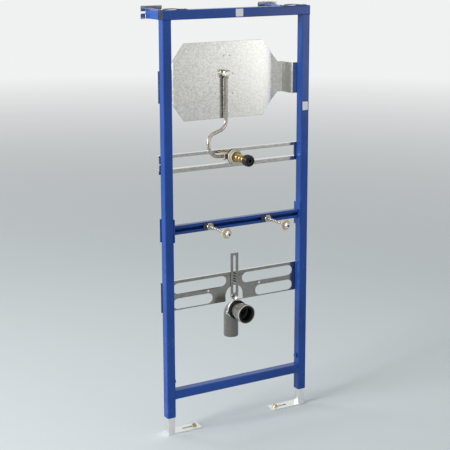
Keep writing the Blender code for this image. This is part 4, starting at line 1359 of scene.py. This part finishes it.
@dataclass
class FixingRail:
    """The C rail on its two angles, with the threaded bolts, collars and caps for the bowl."""

    shop: Workshop
    rod_radius: float = 0.004
    thread_depth: float = 0.0005
    pitch: float = 0.00125

    def build(self) -> None:
        """Rounds the rail, its angles and the flat plates."""
        for node in ("fixing_rail", "fixing_rail_end_left", "fixing_rail_end_right"):
            softened(node, BLUE, 0.0005)
        for label in ("left", "right"):
            softened("slide_plate_" + label, ZINC, 0.0004)
            # The washers take the dark steel as painted shade.
            softened("bolt_washer_" + label, DARK_STEEL_AND_SHADE, 0.0005)

    def dress(self) -> None:
        """Makes the nuts, threads, collars and caps."""
        for label in ("left", "right"):
            self._bolt(label)

    def _bolt(self, label: str) -> None:
        """Makes one bolt's pieces.

        Args:
            label: left or right.
        """
        low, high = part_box("bolt_nut_" + label)
        bore = 2 * self.rod_radius + 0.0006
        name = "bolt_nut_" + label
        mesh = hex_nut(
            name + "_finish", high.z - low.z, high.y - low.y, bore, Facing.FRONT.at((low + high) / 2),
        )
        piece_from(name + "_finish", mesh, ZINC_SHADE, [name], sharp=24.0)
        low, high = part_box("bolt_rod_" + label)
        core = self.rod_radius - self.thread_depth
        at = Facing.FRONT.at(((low.x + high.x) / 2, high.y, (low.z + high.z) / 2))
        long = high.y - low.y
        profile = [(0.0, 0.0), (core, 0.0), (core, long - 0.0006), (core - 0.0006, long), (0.0, long)]
        mesh = turned(f"bolt_rod_{label}_finish", profile, at, SMALL_STEPS)
        piece_from(f"bolt_rod_{label}_finish", mesh, NICKEL, ["bolt_rod_" + label])
        start = at @ Matrix.Translation((0, 0, self.thread_depth))
        run = long - 3 * self.thread_depth
        self.shop.threaded(
            f"bolt_thread_{label}", self.rod_radius, self.thread_depth, self.pitch, run, start, NICKEL,
        )
        self._collar(label)
        self._cap(label)

    def _collar(self, label: str) -> None:
        """Turns the flanged collar.

        Args:
            label: left or right.
        """
        low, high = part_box("bolt_collar_" + label)
        radius, long = (high.x - low.x) / 2, high.y - low.y
        bore, sleeve, flange = self.rod_radius + 0.0003, 0.008, 0.003
        profile = [(bore, 0.0), (sleeve - 0.0008, 0.0), (sleeve, 0.0008), (sleeve, long - flange)]
        profile += [
            (radius - 0.0008, long - flange), (radius, long - flange + 0.0008),
            (radius, long - 0.0012),
        ]
        profile += [
            (radius - 0.0012, long), (radius * 0.80, long), (radius * 0.76, long - 0.0006),
            (bore, long - 0.0006),
        ]
        at = Facing.FRONT.at(((low.x + high.x) / 2, high.y, (low.z + high.z) / 2))
        name = f"bolt_collar_{label}"
        piece_from(name + "_finish", turned(name + "_finish", profile, at), BEIGE, [name])

    def _cap(self, label: str) -> None:
        """Turns the bright cap nut with its neck, and sets the dark pin in the neck's end.

        Args:
            label: left or right.
        """
        low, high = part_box("cap_nut_" + label)
        radius, long = (high.x - low.x) / 2, high.y - low.y
        neck, shoulder = 0.0065, 0.008
        profile = [(0.0, long - 0.003), (0.0036, long - 0.003), (0.0042, long), (neck - 0.0007, long)]
        profile += [(neck, long - 0.0008), (neck, shoulder + 0.0012), (neck + 0.0008, shoulder + 0.0002)]
        profile += [
            (radius - 0.0022, shoulder), (radius - 0.0006, shoulder - 0.0006),
            (radius, shoulder - 0.0022),
        ]
        profile += [(radius, 0.0006), (radius - 0.0006, 0.0), (self.rod_radius + 0.0003, 0.0)]
        profile += [(self.rod_radius + 0.0003, shoulder), (0.0, shoulder)]
        at = Facing.FRONT.at(((low.x + high.x) / 2, high.y, (low.z + high.z) / 2))
        name = f"cap_nut_{label}"
        piece_from(name + "_finish", turned(name + "_finish", profile, at), CHROME, [name])
        disc = [(0.0, 0.0), (0.0034, 0.0), (0.0034, 0.0012), (0.0, 0.0012)]
        place = at @ Matrix.Translation((0, 0, long - 0.0028))
        piece_from("cap_pin_" + label, turned("cap_pin_" + label, disc, place, PIN_STEPS), DARK_STEEL_AND_SHADE)


@dataclass
class WasteSet:
    """The slotted drain plate, the hanger strap with its stamped scale, the clamp and the elbow."""

    shop: Workshop
    pipe: float = 0.025
    pipe_bore: float = 0.023
    socket: float = 0.032
    socket_bore: float = 0.028
    front: float = 0.050
    deep: float = 0.042
    bend: float = 0.030
    leg_y: float = 0.052
    leg: float = 0.100
    drop: float = 0.994
    centre: float = 0.270
    band: float = 0.0075

    def build(self) -> None:
        """Rounds the plate and strap, and turns the elbow."""
        # The plate and strap take the darkest zinc copy: painted shade.
        softened("drain_plate", ZINC_DEEP_SHADE, 0.0005)
        softened("hanger_strap", ZINC_DEEP_SHADE, 0.0004)
        self._elbow()

    def _elbow(self) -> None:
        """Lofts the elbow: a ribbed socket that narrows to the pipe and turns down into the leg."""
        front, deep = -self.front, self.deep - self.front
        wide, bore = self.socket, self.socket_bore
        outer = [
            (front, wide - 0.0012), (front + 0.0012, wide), (front + 0.0105, wide),
            (front + 0.0120, wide - 0.0012),
        ]
        outer += [
            (front + 0.0125, wide - 0.0022), (front + 0.0230, wide - 0.0024),
            (front + 0.0236, wide - 0.0014),
        ]
        outer += [
            (front + 0.0256, wide - 0.0014), (front + 0.0262, wide - 0.0026),
            (deep - 0.0060, wide - 0.0030),
        ]
        outer += [(deep - 0.0035, wide - 0.0042), (deep, self.pipe + 0.0004), (deep + 0.0012, self.pipe)]
        inner = [(front, bore + 0.0012), (front + 0.0014, bore), (deep - 0.005, bore), (deep, self.pipe_bore)]
        stations = [(y, 0.0, 0.0, radius) for y, radius in outer]
        hollow = [(y, 0.0, 0.0, radius) for y, radius in inner]
        start = self.leg_y - self.bend
        for step in range(17):
            angle = math.pi / 2 * step / 16
            y, z = start + self.bend * math.sin(angle), self.bend * (math.cos(angle) - 1)
            stations.append((y, z, angle, self.pipe))
            hollow.append((y, z, angle, self.pipe_bore))
        stations += [(self.leg_y, z, math.pi / 2, self.pipe) for z in (-self.leg * 0.6, -self.leg + 0.0012)]
        stations.append((self.leg_y, -self.leg, math.pi / 2, self.pipe - 0.0008))
        hollow.append((self.leg_y, -self.leg, math.pi / 2, self.pipe_bore))
        rings = [self._ring(*station) for station in stations + hollow[::-1]]
        at = Matrix.Translation(spot(self.centre, 0.0, self.drop))
        mesh = loft("drain_elbow_finish", rings, at, True)
        piece_from("drain_elbow_finish", mesh, GREY, ["drain_elbow"], sharp=32.0)

    @staticmethod
    def _ring(y: float, z: float, angle: float, radius: float) -> list[tuple[float, float, float]]:
        """Lays a ring round the elbow's axis.

        Args:
            y: Its middle behind the frame's front.
            z: Its middle above the socket's axis.
            angle: 0 where the pipe runs to the back, a quarter turn where it runs down.
            radius: Its radius.

        Returns:
            The ring's points.
        """
        points = []
        for step in range(PIPE_STEPS):
            turn = math.tau * step / PIPE_STEPS
            across, along = radius * math.cos(turn), radius * math.sin(turn)
            points.append((across, y + along * math.sin(angle), z + along * math.cos(angle)))
        return points

    def dress(self) -> None:
        """Adds the seal, the clamp with its rubber, nut and bolt, and the strap's scale."""
        at = Facing.FRONT.at(spot(self.centre, 0.0, self.drop))
        bore = self.socket_bore - 0.0003
        lips = [(bore, self.front - 0.010), (bore, self.front - 0.0006), (bore - 0.0012, self.front)]
        lips += [
            (bore - 0.0034, self.front), (bore - 0.0046, self.front - 0.0012),
            (bore - 0.0040, self.front - 0.0042),
        ]
        lips += [(bore - 0.0050, self.front - 0.0060), (bore - 0.0046, self.front - 0.0098)]
        mesh = turned("socket_seal_finish", lips, at, PIPE_STEPS)
        piece_from("socket_seal_finish", mesh, RUBBER, ["socket_seal"])
        # A black rubber sleeve lines the socket's bore: partly the seal's rubber, partly painted shade for
        # the dark inside of the bore.
        start, end = self.front - 0.0102, self.front - self.deep + 0.0052
        liner = [(bore, end), (bore, start), (bore - 0.0016, start), (bore - 0.0016, end)]
        piece_from("socket_liner", turned("socket_liner", liner, at, PIPE_STEPS), RUBBER)
        # A pale grey bead round the socket's mouth: a painted highlight on its lit edge.
        bead, middle_line = 0.0011, self.socket - 0.0012
        turns = [math.tau * step / 12 for step in range(12)]
        rim = [
            (middle_line + bead * math.cos(a), self.front - bead * 0.8 + bead * math.sin(a))
            for a in turns
        ]
        piece_from("socket_rim", turned("socket_rim", rim, at, PIPE_STEPS), RIM_PAINTED_HIGHLIGHT)
        self._clamp()
        self._ears()
        self._scale()

    def _clamp(self) -> None:
        """Makes the clamp's steel band, the thick rubber in front of it, the nut and the bolt."""
        low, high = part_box("clamp_rubber")
        centre, half, outer = middle("clamp_rubber"), (high.y - low.y) / 2, (high.x - low.x) / 2
        bore = self.pipe + 0.0003
        band, full = self.band - half, (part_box("clamp_ring")[1].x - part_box("clamp_ring")[0].x) / 2
        profile = [
            (bore, -half + 0.001), (bore + 0.001, -half), (outer - 0.0006, -half),
            (outer, -half + 0.0006),
        ]
        profile += [
            (outer, band), (full - 0.0004, band), (full - 0.0004, half - 0.0022),
            (full - 0.0014, half - 0.0008),
        ]
        profile += [(outer, half), (bore + 0.001, half), (bore, half - 0.001)]
        at = Facing.FRONT.at(centre)
        piece_from(
            "clamp_rubber_finish", turned("clamp_rubber_finish", profile, at, PIPE_STEPS), RUBBER,
            ["clamp_rubber"],
        )
        low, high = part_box("clamp_ring")
        half, wide = (high.y - low.y) / 2, (high.x - low.x) / 2
        inner = outer + 0.0003
        edge = -half + self.band - 0.0016
        profile = [(inner, -half), (wide - 0.0005, -half), (wide, -half + 0.0005), (wide, edge - 0.0005)]
        profile += [(wide - 0.0005, edge), (inner, edge)]
        piece_from(
            "clamp_ring_finish", turned("clamp_ring_finish", profile, at, PIPE_STEPS), ZINC_FOOT,
            ["clamp_ring"],
        )
        low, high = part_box("clamp_nut")
        mesh = hex_nut(
            "clamp_nut_finish", high.y - low.y, high.z - low.z, 0.0086, Facing.UP.at((low + high) / 2),
        )
        piece_from("clamp_nut_finish", mesh, ZINC_FOOT, ["clamp_nut"], sharp=24.0)
        low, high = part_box("clamp_bolt")
        x, y = (low.x + high.x) / 2, (low.y + high.y) / 2
        shank = [(0.0, low.z), (0.004, low.z), (0.004, high.z - 0.005), (0.0, high.z - 0.005)]
        mesh = turned("clamp_bolt_finish", shank, Facing.UP.at((x, y, 0.0)), SMALL_STEPS)
        piece_from("clamp_bolt_finish", mesh, ZINC, ["clamp_bolt"])
        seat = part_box("hanger_strap")[0].z + 0.002
        washer = [
            (0.0041, seat), (0.0088, seat), (0.0092, seat + 0.0005), (0.0088, seat + 0.0018),
            (0.0041, seat + 0.0018),
        ]
        mesh = turned("clamp_washer", washer, Facing.UP.at((x, y, 0.0)), SMALL_STEPS)
        piece_from("clamp_washer", mesh, ZINC_FOOT)
        mesh = hex_head(
            "clamp_bolt_head", (high.x - low.x) * 0.98, 0.0055, Facing.UP.at((x, y, high.z - 0.00275)),
        )
        piece_from("clamp_bolt_head", mesh, ZINC_FOOT, sharp=24.0)

    def _ears(self) -> None:
        """Adds the clamp's ears at both sides, each pair with its screw."""
        low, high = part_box("clamp_ring")
        centre, radius = (low + high) / 2, (high.x - low.x) / 2
        for label, side in (("left", -1), ("right", 1)):
            place = centre + Vector((side * (radius + 0.0036), 0, -0.005))
            for part, lift in (("upper", 0.0022), ("lower", -0.0022)):
                shape = bmesh.new()
                bmesh.ops.create_cube(shape, size=1.0)
                at = Matrix.Translation(place + Vector((0, 0, lift)))
                mesh = to_mesh("ear", shape, at @ Matrix.Diagonal((0.0092, 0.0120, 0.0018, 1.0)))
                piece_from(f"clamp_ear_{part}_{label}", mesh, ZINC_SHADE, edge=0.0004)
            profile = [
                (0.0, -0.0062), (0.0018, -0.0062), (0.0018, 0.0031), (0.0036, 0.0031),
                (0.0036, 0.0052),
            ]
            profile += [(0.0026, 0.0062), (0.0014, 0.0062), (0.0012, 0.0050), (0.0, 0.0050)]
            name = "clamp_screw_" + label
            piece_from(
                name, turned(name, profile, Facing.UP.at(place + Vector((side * 0.0008, 0, 0))), PIN_STEPS),
                ZINC_FOOT,
            )

    def _scale(self) -> None:
        """Stamps a row of slanting ticks on the strap's face between its slots: black ticks of painted shade,
        each with a bright lip of painted highlight.
        """
        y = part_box("hanger_strap")[1].y - 0.002 - home().y
        # The black ticks are painted shade in the stamping; the thin pale ones above them are a painted
        # highlight on each lip.
        for label, finish, start, tall in (
            ("dark", BLACK, 0.8725, 0.0052), ("bright", ZINC_FOOT, 0.8767, 0.0010),
        ):
            shape = bmesh.new()
            bmesh.ops.create_cube(shape, size=1.0)
            turn = Matrix.Rotation(math.radians(35), 4, "Y")
            tick = to_mesh("tick", shape, turn @ Matrix.Diagonal((0.0105, 0.0014, tall, 1.0)))
            spots = [spot(self.centre, y, start + 0.0090 * step) for step in range(4)]
            mesh = self.shop.scatter.spread("strap_ticks_" + label, tick, spots, finish)
            piece_from("strap_ticks_" + label, mesh, finish, edge=0.0003)


@dataclass
class Foot:
    """A telescopic foot: its tube and sole, the seam between them, and the floor bolt."""

    shop: Workshop
    label: str
    body: Ride
    wall: float = 0.002
    corner: float = 0.0025

    def build(self) -> None:
        """Draws the tube and rounds the sole."""
        tube("foot_" + self.label, ZINC_FOOT, self.wall, self.corner, self.body)
        softened("foot_sole_" + self.label, ZINC_FOOT, 0.0006, self.body)

    def dress(self) -> None:
        """Adds the seam, the floor bolt with its washer, and the clamping screw's head."""
        low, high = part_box("foot_" + self.label)
        centre = (low + high) / 2
        size = (high.x - low.x - 0.001, high.y - low.y - 0.001)
        at = Vector((centre.x, centre.y, low.z))
        sides = (Vector((1, 0, 0)), Vector((0, 1, 0)))
        self.shop.seam_round("sole_seam_" + self.label, at, *sides, size, self.body, ZINC_FOOT)
        self._floor_bolt()
        node = "foot_clamp_" + self.label
        low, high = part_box(node)
        mesh = hex_head(node + "_finish", high.y - low.y, high.x - low.x, Facing.RIGHT.at((low + high) / 2))
        if self.label == "right":
            turn = Matrix.Translation((low + high) / 2) @ Matrix.Rotation(math.pi, 4, "Z")
            mesh.transform(turn @ Matrix.Translation(-(low + high) / 2))
        piece_from(node + "_finish", mesh, BLUE, [node], sharp=24.0)

    def _floor_bolt(self) -> None:
        """Makes the floor bolt: shank and washer turned, and a hexagon head on them."""
        name = "floor_bolt_" + self.label
        low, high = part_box(name)
        x, y = (low.x + high.x) / 2, (low.y + high.y) / 2
        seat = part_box("foot_sole_" + self.label)[1].z + 0.0003
        washer, top = (high.x - low.x) / 2, 0.0016
        profile = [
            (0.0, low.z), (0.004, low.z), (0.004, seat), (washer - 0.0003, seat),
            (washer, seat + 0.0003),
        ]
        profile += [(washer, seat + top - 0.0004), (washer - 0.0004, seat + top), (0.0, seat + top)]
        mesh = turned(name + "_finish", profile, Facing.UP.at((x, y, 0.0)), SMALL_STEPS)
        piece_from(name + "_finish", mesh, ZINC, [name], self.body)
        tall = high.z - seat - top
        at = Facing.UP.at((x, y, high.z - tall / 2))
        mesh = hex_head(name + "_head", 0.0125, tall, at)
        piece_from(name + "_head", mesh, GOLDEN, (), self.body, sharp=24.0)


@dataclass(frozen=True)
class Lamp:
    """A soft square lamp that looks at a point."""

    name: str
    place: tuple[float, float, float]
    size: float
    power: float
    spread: float = 180.0

    def hang(self, target: Vector) -> None:
        """Hangs the lamp and turns it to the target.

        Args:
            target: The point that the lamp looks at.
        """
        data = bpy.data.lights.new(self.name, "AREA")
        data.size = self.size
        data.energy = self.power
        data.spread = math.radians(self.spread)
        lamp = bpy.data.objects.new(self.name, data)
        lamp.location = self.place
        lamp.rotation_euler = (target - Vector(self.place)).to_track_quat("-Z", "Y").to_euler()
        lamp.visible_camera = False
        bpy.context.scene.collection.objects.link(lamp)


@dataclass
class Studio:
    """The pale floor, the soft lamps and the camera."""

    eye: tuple[float, float, float] = (-1.71753, -3.40920, 0.25203)
    yaw: float = 0.53964
    pitch: float = -0.22226
    lens: float = 96.75
    shift: Point = (-0.03, -0.05)
    floor: Colour = (0.60, 0.65, 0.67)
    fade: Point = (2.5, 10.0)
    sky: Colour = (0.93, 0.94, 0.94)
    sky_level: float = 0.42
    sky_shown: float = 0.94
    shade: float = 0.60
    shade_sides: tuple[tuple[Colour, Point], ...] = (
        ((1.0, 0.0, 0.0), (0.62, 0.96)),
        ((-0.35, -0.94, 0.0), (0.68, 0.94)),
    )
    lamps: tuple[Lamp, ...] = (
        Lamp("key_lamp", (-4.2, -0.5, 1.0), 2.0, 88.0, 110.0),
        Lamp("front_lamp", (1.2, -4.4, 1.6), 1.8, 12.0),
        Lamp("sheen_lamp", (2.6, -2.9, -0.40), 0.9, 4.8),
        Lamp("top_lamp", (0.2, 0.8, 3.0), 2.0, 26.0),
        Lamp("rim_lamp", (-2.0, 3.3, 0.95), 1.1, 24.0),
    )

    def build(self) -> None:
        """Lays the floor and sets the world, the lamps and the camera."""
        self._lay_floor()
        self._fill_world()
        target = Vector((0.25, -0.1, -0.65))
        for lamp in self.lamps:
            lamp.hang(target)
        self._set_camera()
        bpy.context.scene.view_settings.view_transform = "Standard"

    def _lay_floor(self) -> None:
        """Lays a wide pale floor under the soles, which passes into the backdrop far out."""
        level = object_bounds()[0].z - 0.0002
        shape = bmesh.new()
        bmesh.ops.create_grid(shape, x_segments=8, y_segments=8, size=60.0)
        mesh = to_mesh("floor", shape, Matrix.Translation((0, 0, level)), False)
        floor = bpy.data.objects.new("floor", mesh)
        bpy.context.scene.collection.objects.link(floor)
        recipe = Recipe("pale_floor")
        cloud = recipe.grain(0.8, 2.0)
        recipe.surface(base_color=recipe.blend(cloud, self.floor, tuple(c * 0.985 for c in self.floor)))
        recipe.surface(roughness=0.75)
        way = recipe.add("ShaderNodeLightPath")
        seen = Level(recipe, way.outputs["Is Camera Ray"]) + Level(recipe, way.outputs["Is Glossy Ray"])
        reach = recipe.add("ShaderNodeVectorMath", {"operation": "LENGTH"}, {0: recipe.coords})
        far = Level(recipe, reach.outputs["Value"]).between(*self.fade)
        glow = recipe.add("ShaderNodeEmission", None, {"Color": (*self.sky, 1.0), "Strength": self.sky_shown})
        values = {0: far * seen, 1: recipe.shader.outputs[0], 2: glow.outputs[0]}
        mixed = recipe.add("ShaderNodeMixShader", None, values)
        recipe.feed(recipe.tree.nodes["Material Output"].inputs["Surface"], mixed.outputs[0])
        mesh.materials.append(recipe.material)
        floor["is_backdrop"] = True

    def _fill_world(self) -> None:
        """Gives the world a pale backdrop, darker sides for gloss, and a plain soft level."""
        world = bpy.data.worlds.new("studio")
        bpy.context.scene.world = world
        world.use_nodes = True
        sheet = NodeSheet(world.node_tree)
        way = sheet.add("ShaderNodeLightPath")
        seen = [
            Level(sheet, way.outputs[name])
            for name in ("Is Camera Ray", "Is Glossy Ray", "Is Transmission Ray")
        ]
        straight = (seen[0] + seen[1] + seen[2]).between(0.0, 1.0)
        background = sheet.tree.nodes["Background"]
        sheet.feed(background.inputs["Color"], (*self.sky, 1.0))
        toward = sheet.add("ShaderNodeTexCoord").outputs["Generated"]
        level = self.sky_level + straight * (self.sky_shown - self.sky_level)
        for side, span in self.shade_sides:
            across = sheet.add("ShaderNodeVectorMath", {"operation": "DOT_PRODUCT"}, {0: toward, 1: side})
            level = level - Level(sheet, across.outputs["Value"]).between(*span) * seen[1] * self.shade
        sheet.feed(background.inputs["Strength"], level)

    def _set_camera(self) -> None:
        """Sets the camera at the solved place."""
        data = bpy.data.cameras.new("camera")
        data.sensor_width = 36.0
        data.lens = self.lens
        data.shift_x, data.shift_y = self.shift
        data.clip_start, data.clip_end = 0.05, 200.0
        camera = bpy.data.objects.new("camera", data)
        flat = math.cos(self.pitch)
        forward = Vector((math.sin(self.yaw) * flat, math.cos(self.yaw) * flat, math.sin(self.pitch)))
        camera.location = self.eye
        camera.rotation_mode = "QUATERNION"
        camera.rotation_quaternion = forward.to_track_quat("-Z", "Y")
        bpy.context.scene.collection.objects.link(camera)
        bpy.context.scene.camera = camera


def main() -> None:
    """Builds each assembly in order, dresses it, and sets the studio round it."""
    logging.basicConfig(level=logging.INFO, format="%(name)s: %(message)s")
    shop = Workshop()
    assemblies = (
        TubeFrame(shop),
        WallArms(shop),
        ValvePlate(shop),
        FlushPipe(),
        WaterInlet(shop),
        FixingRail(shop),
        WasteSet(shop),
        Foot(shop, "left", Ride.LEFT),
        Foot(shop, "right", Ride.RIGHT),
    )
    for assembly in assemblies:
        assembly.build()
        assembly.dress()
        LOG.info("finished %s", type(assembly).__name__)
    Studio().build()


if __name__ == "__main__":
    main()
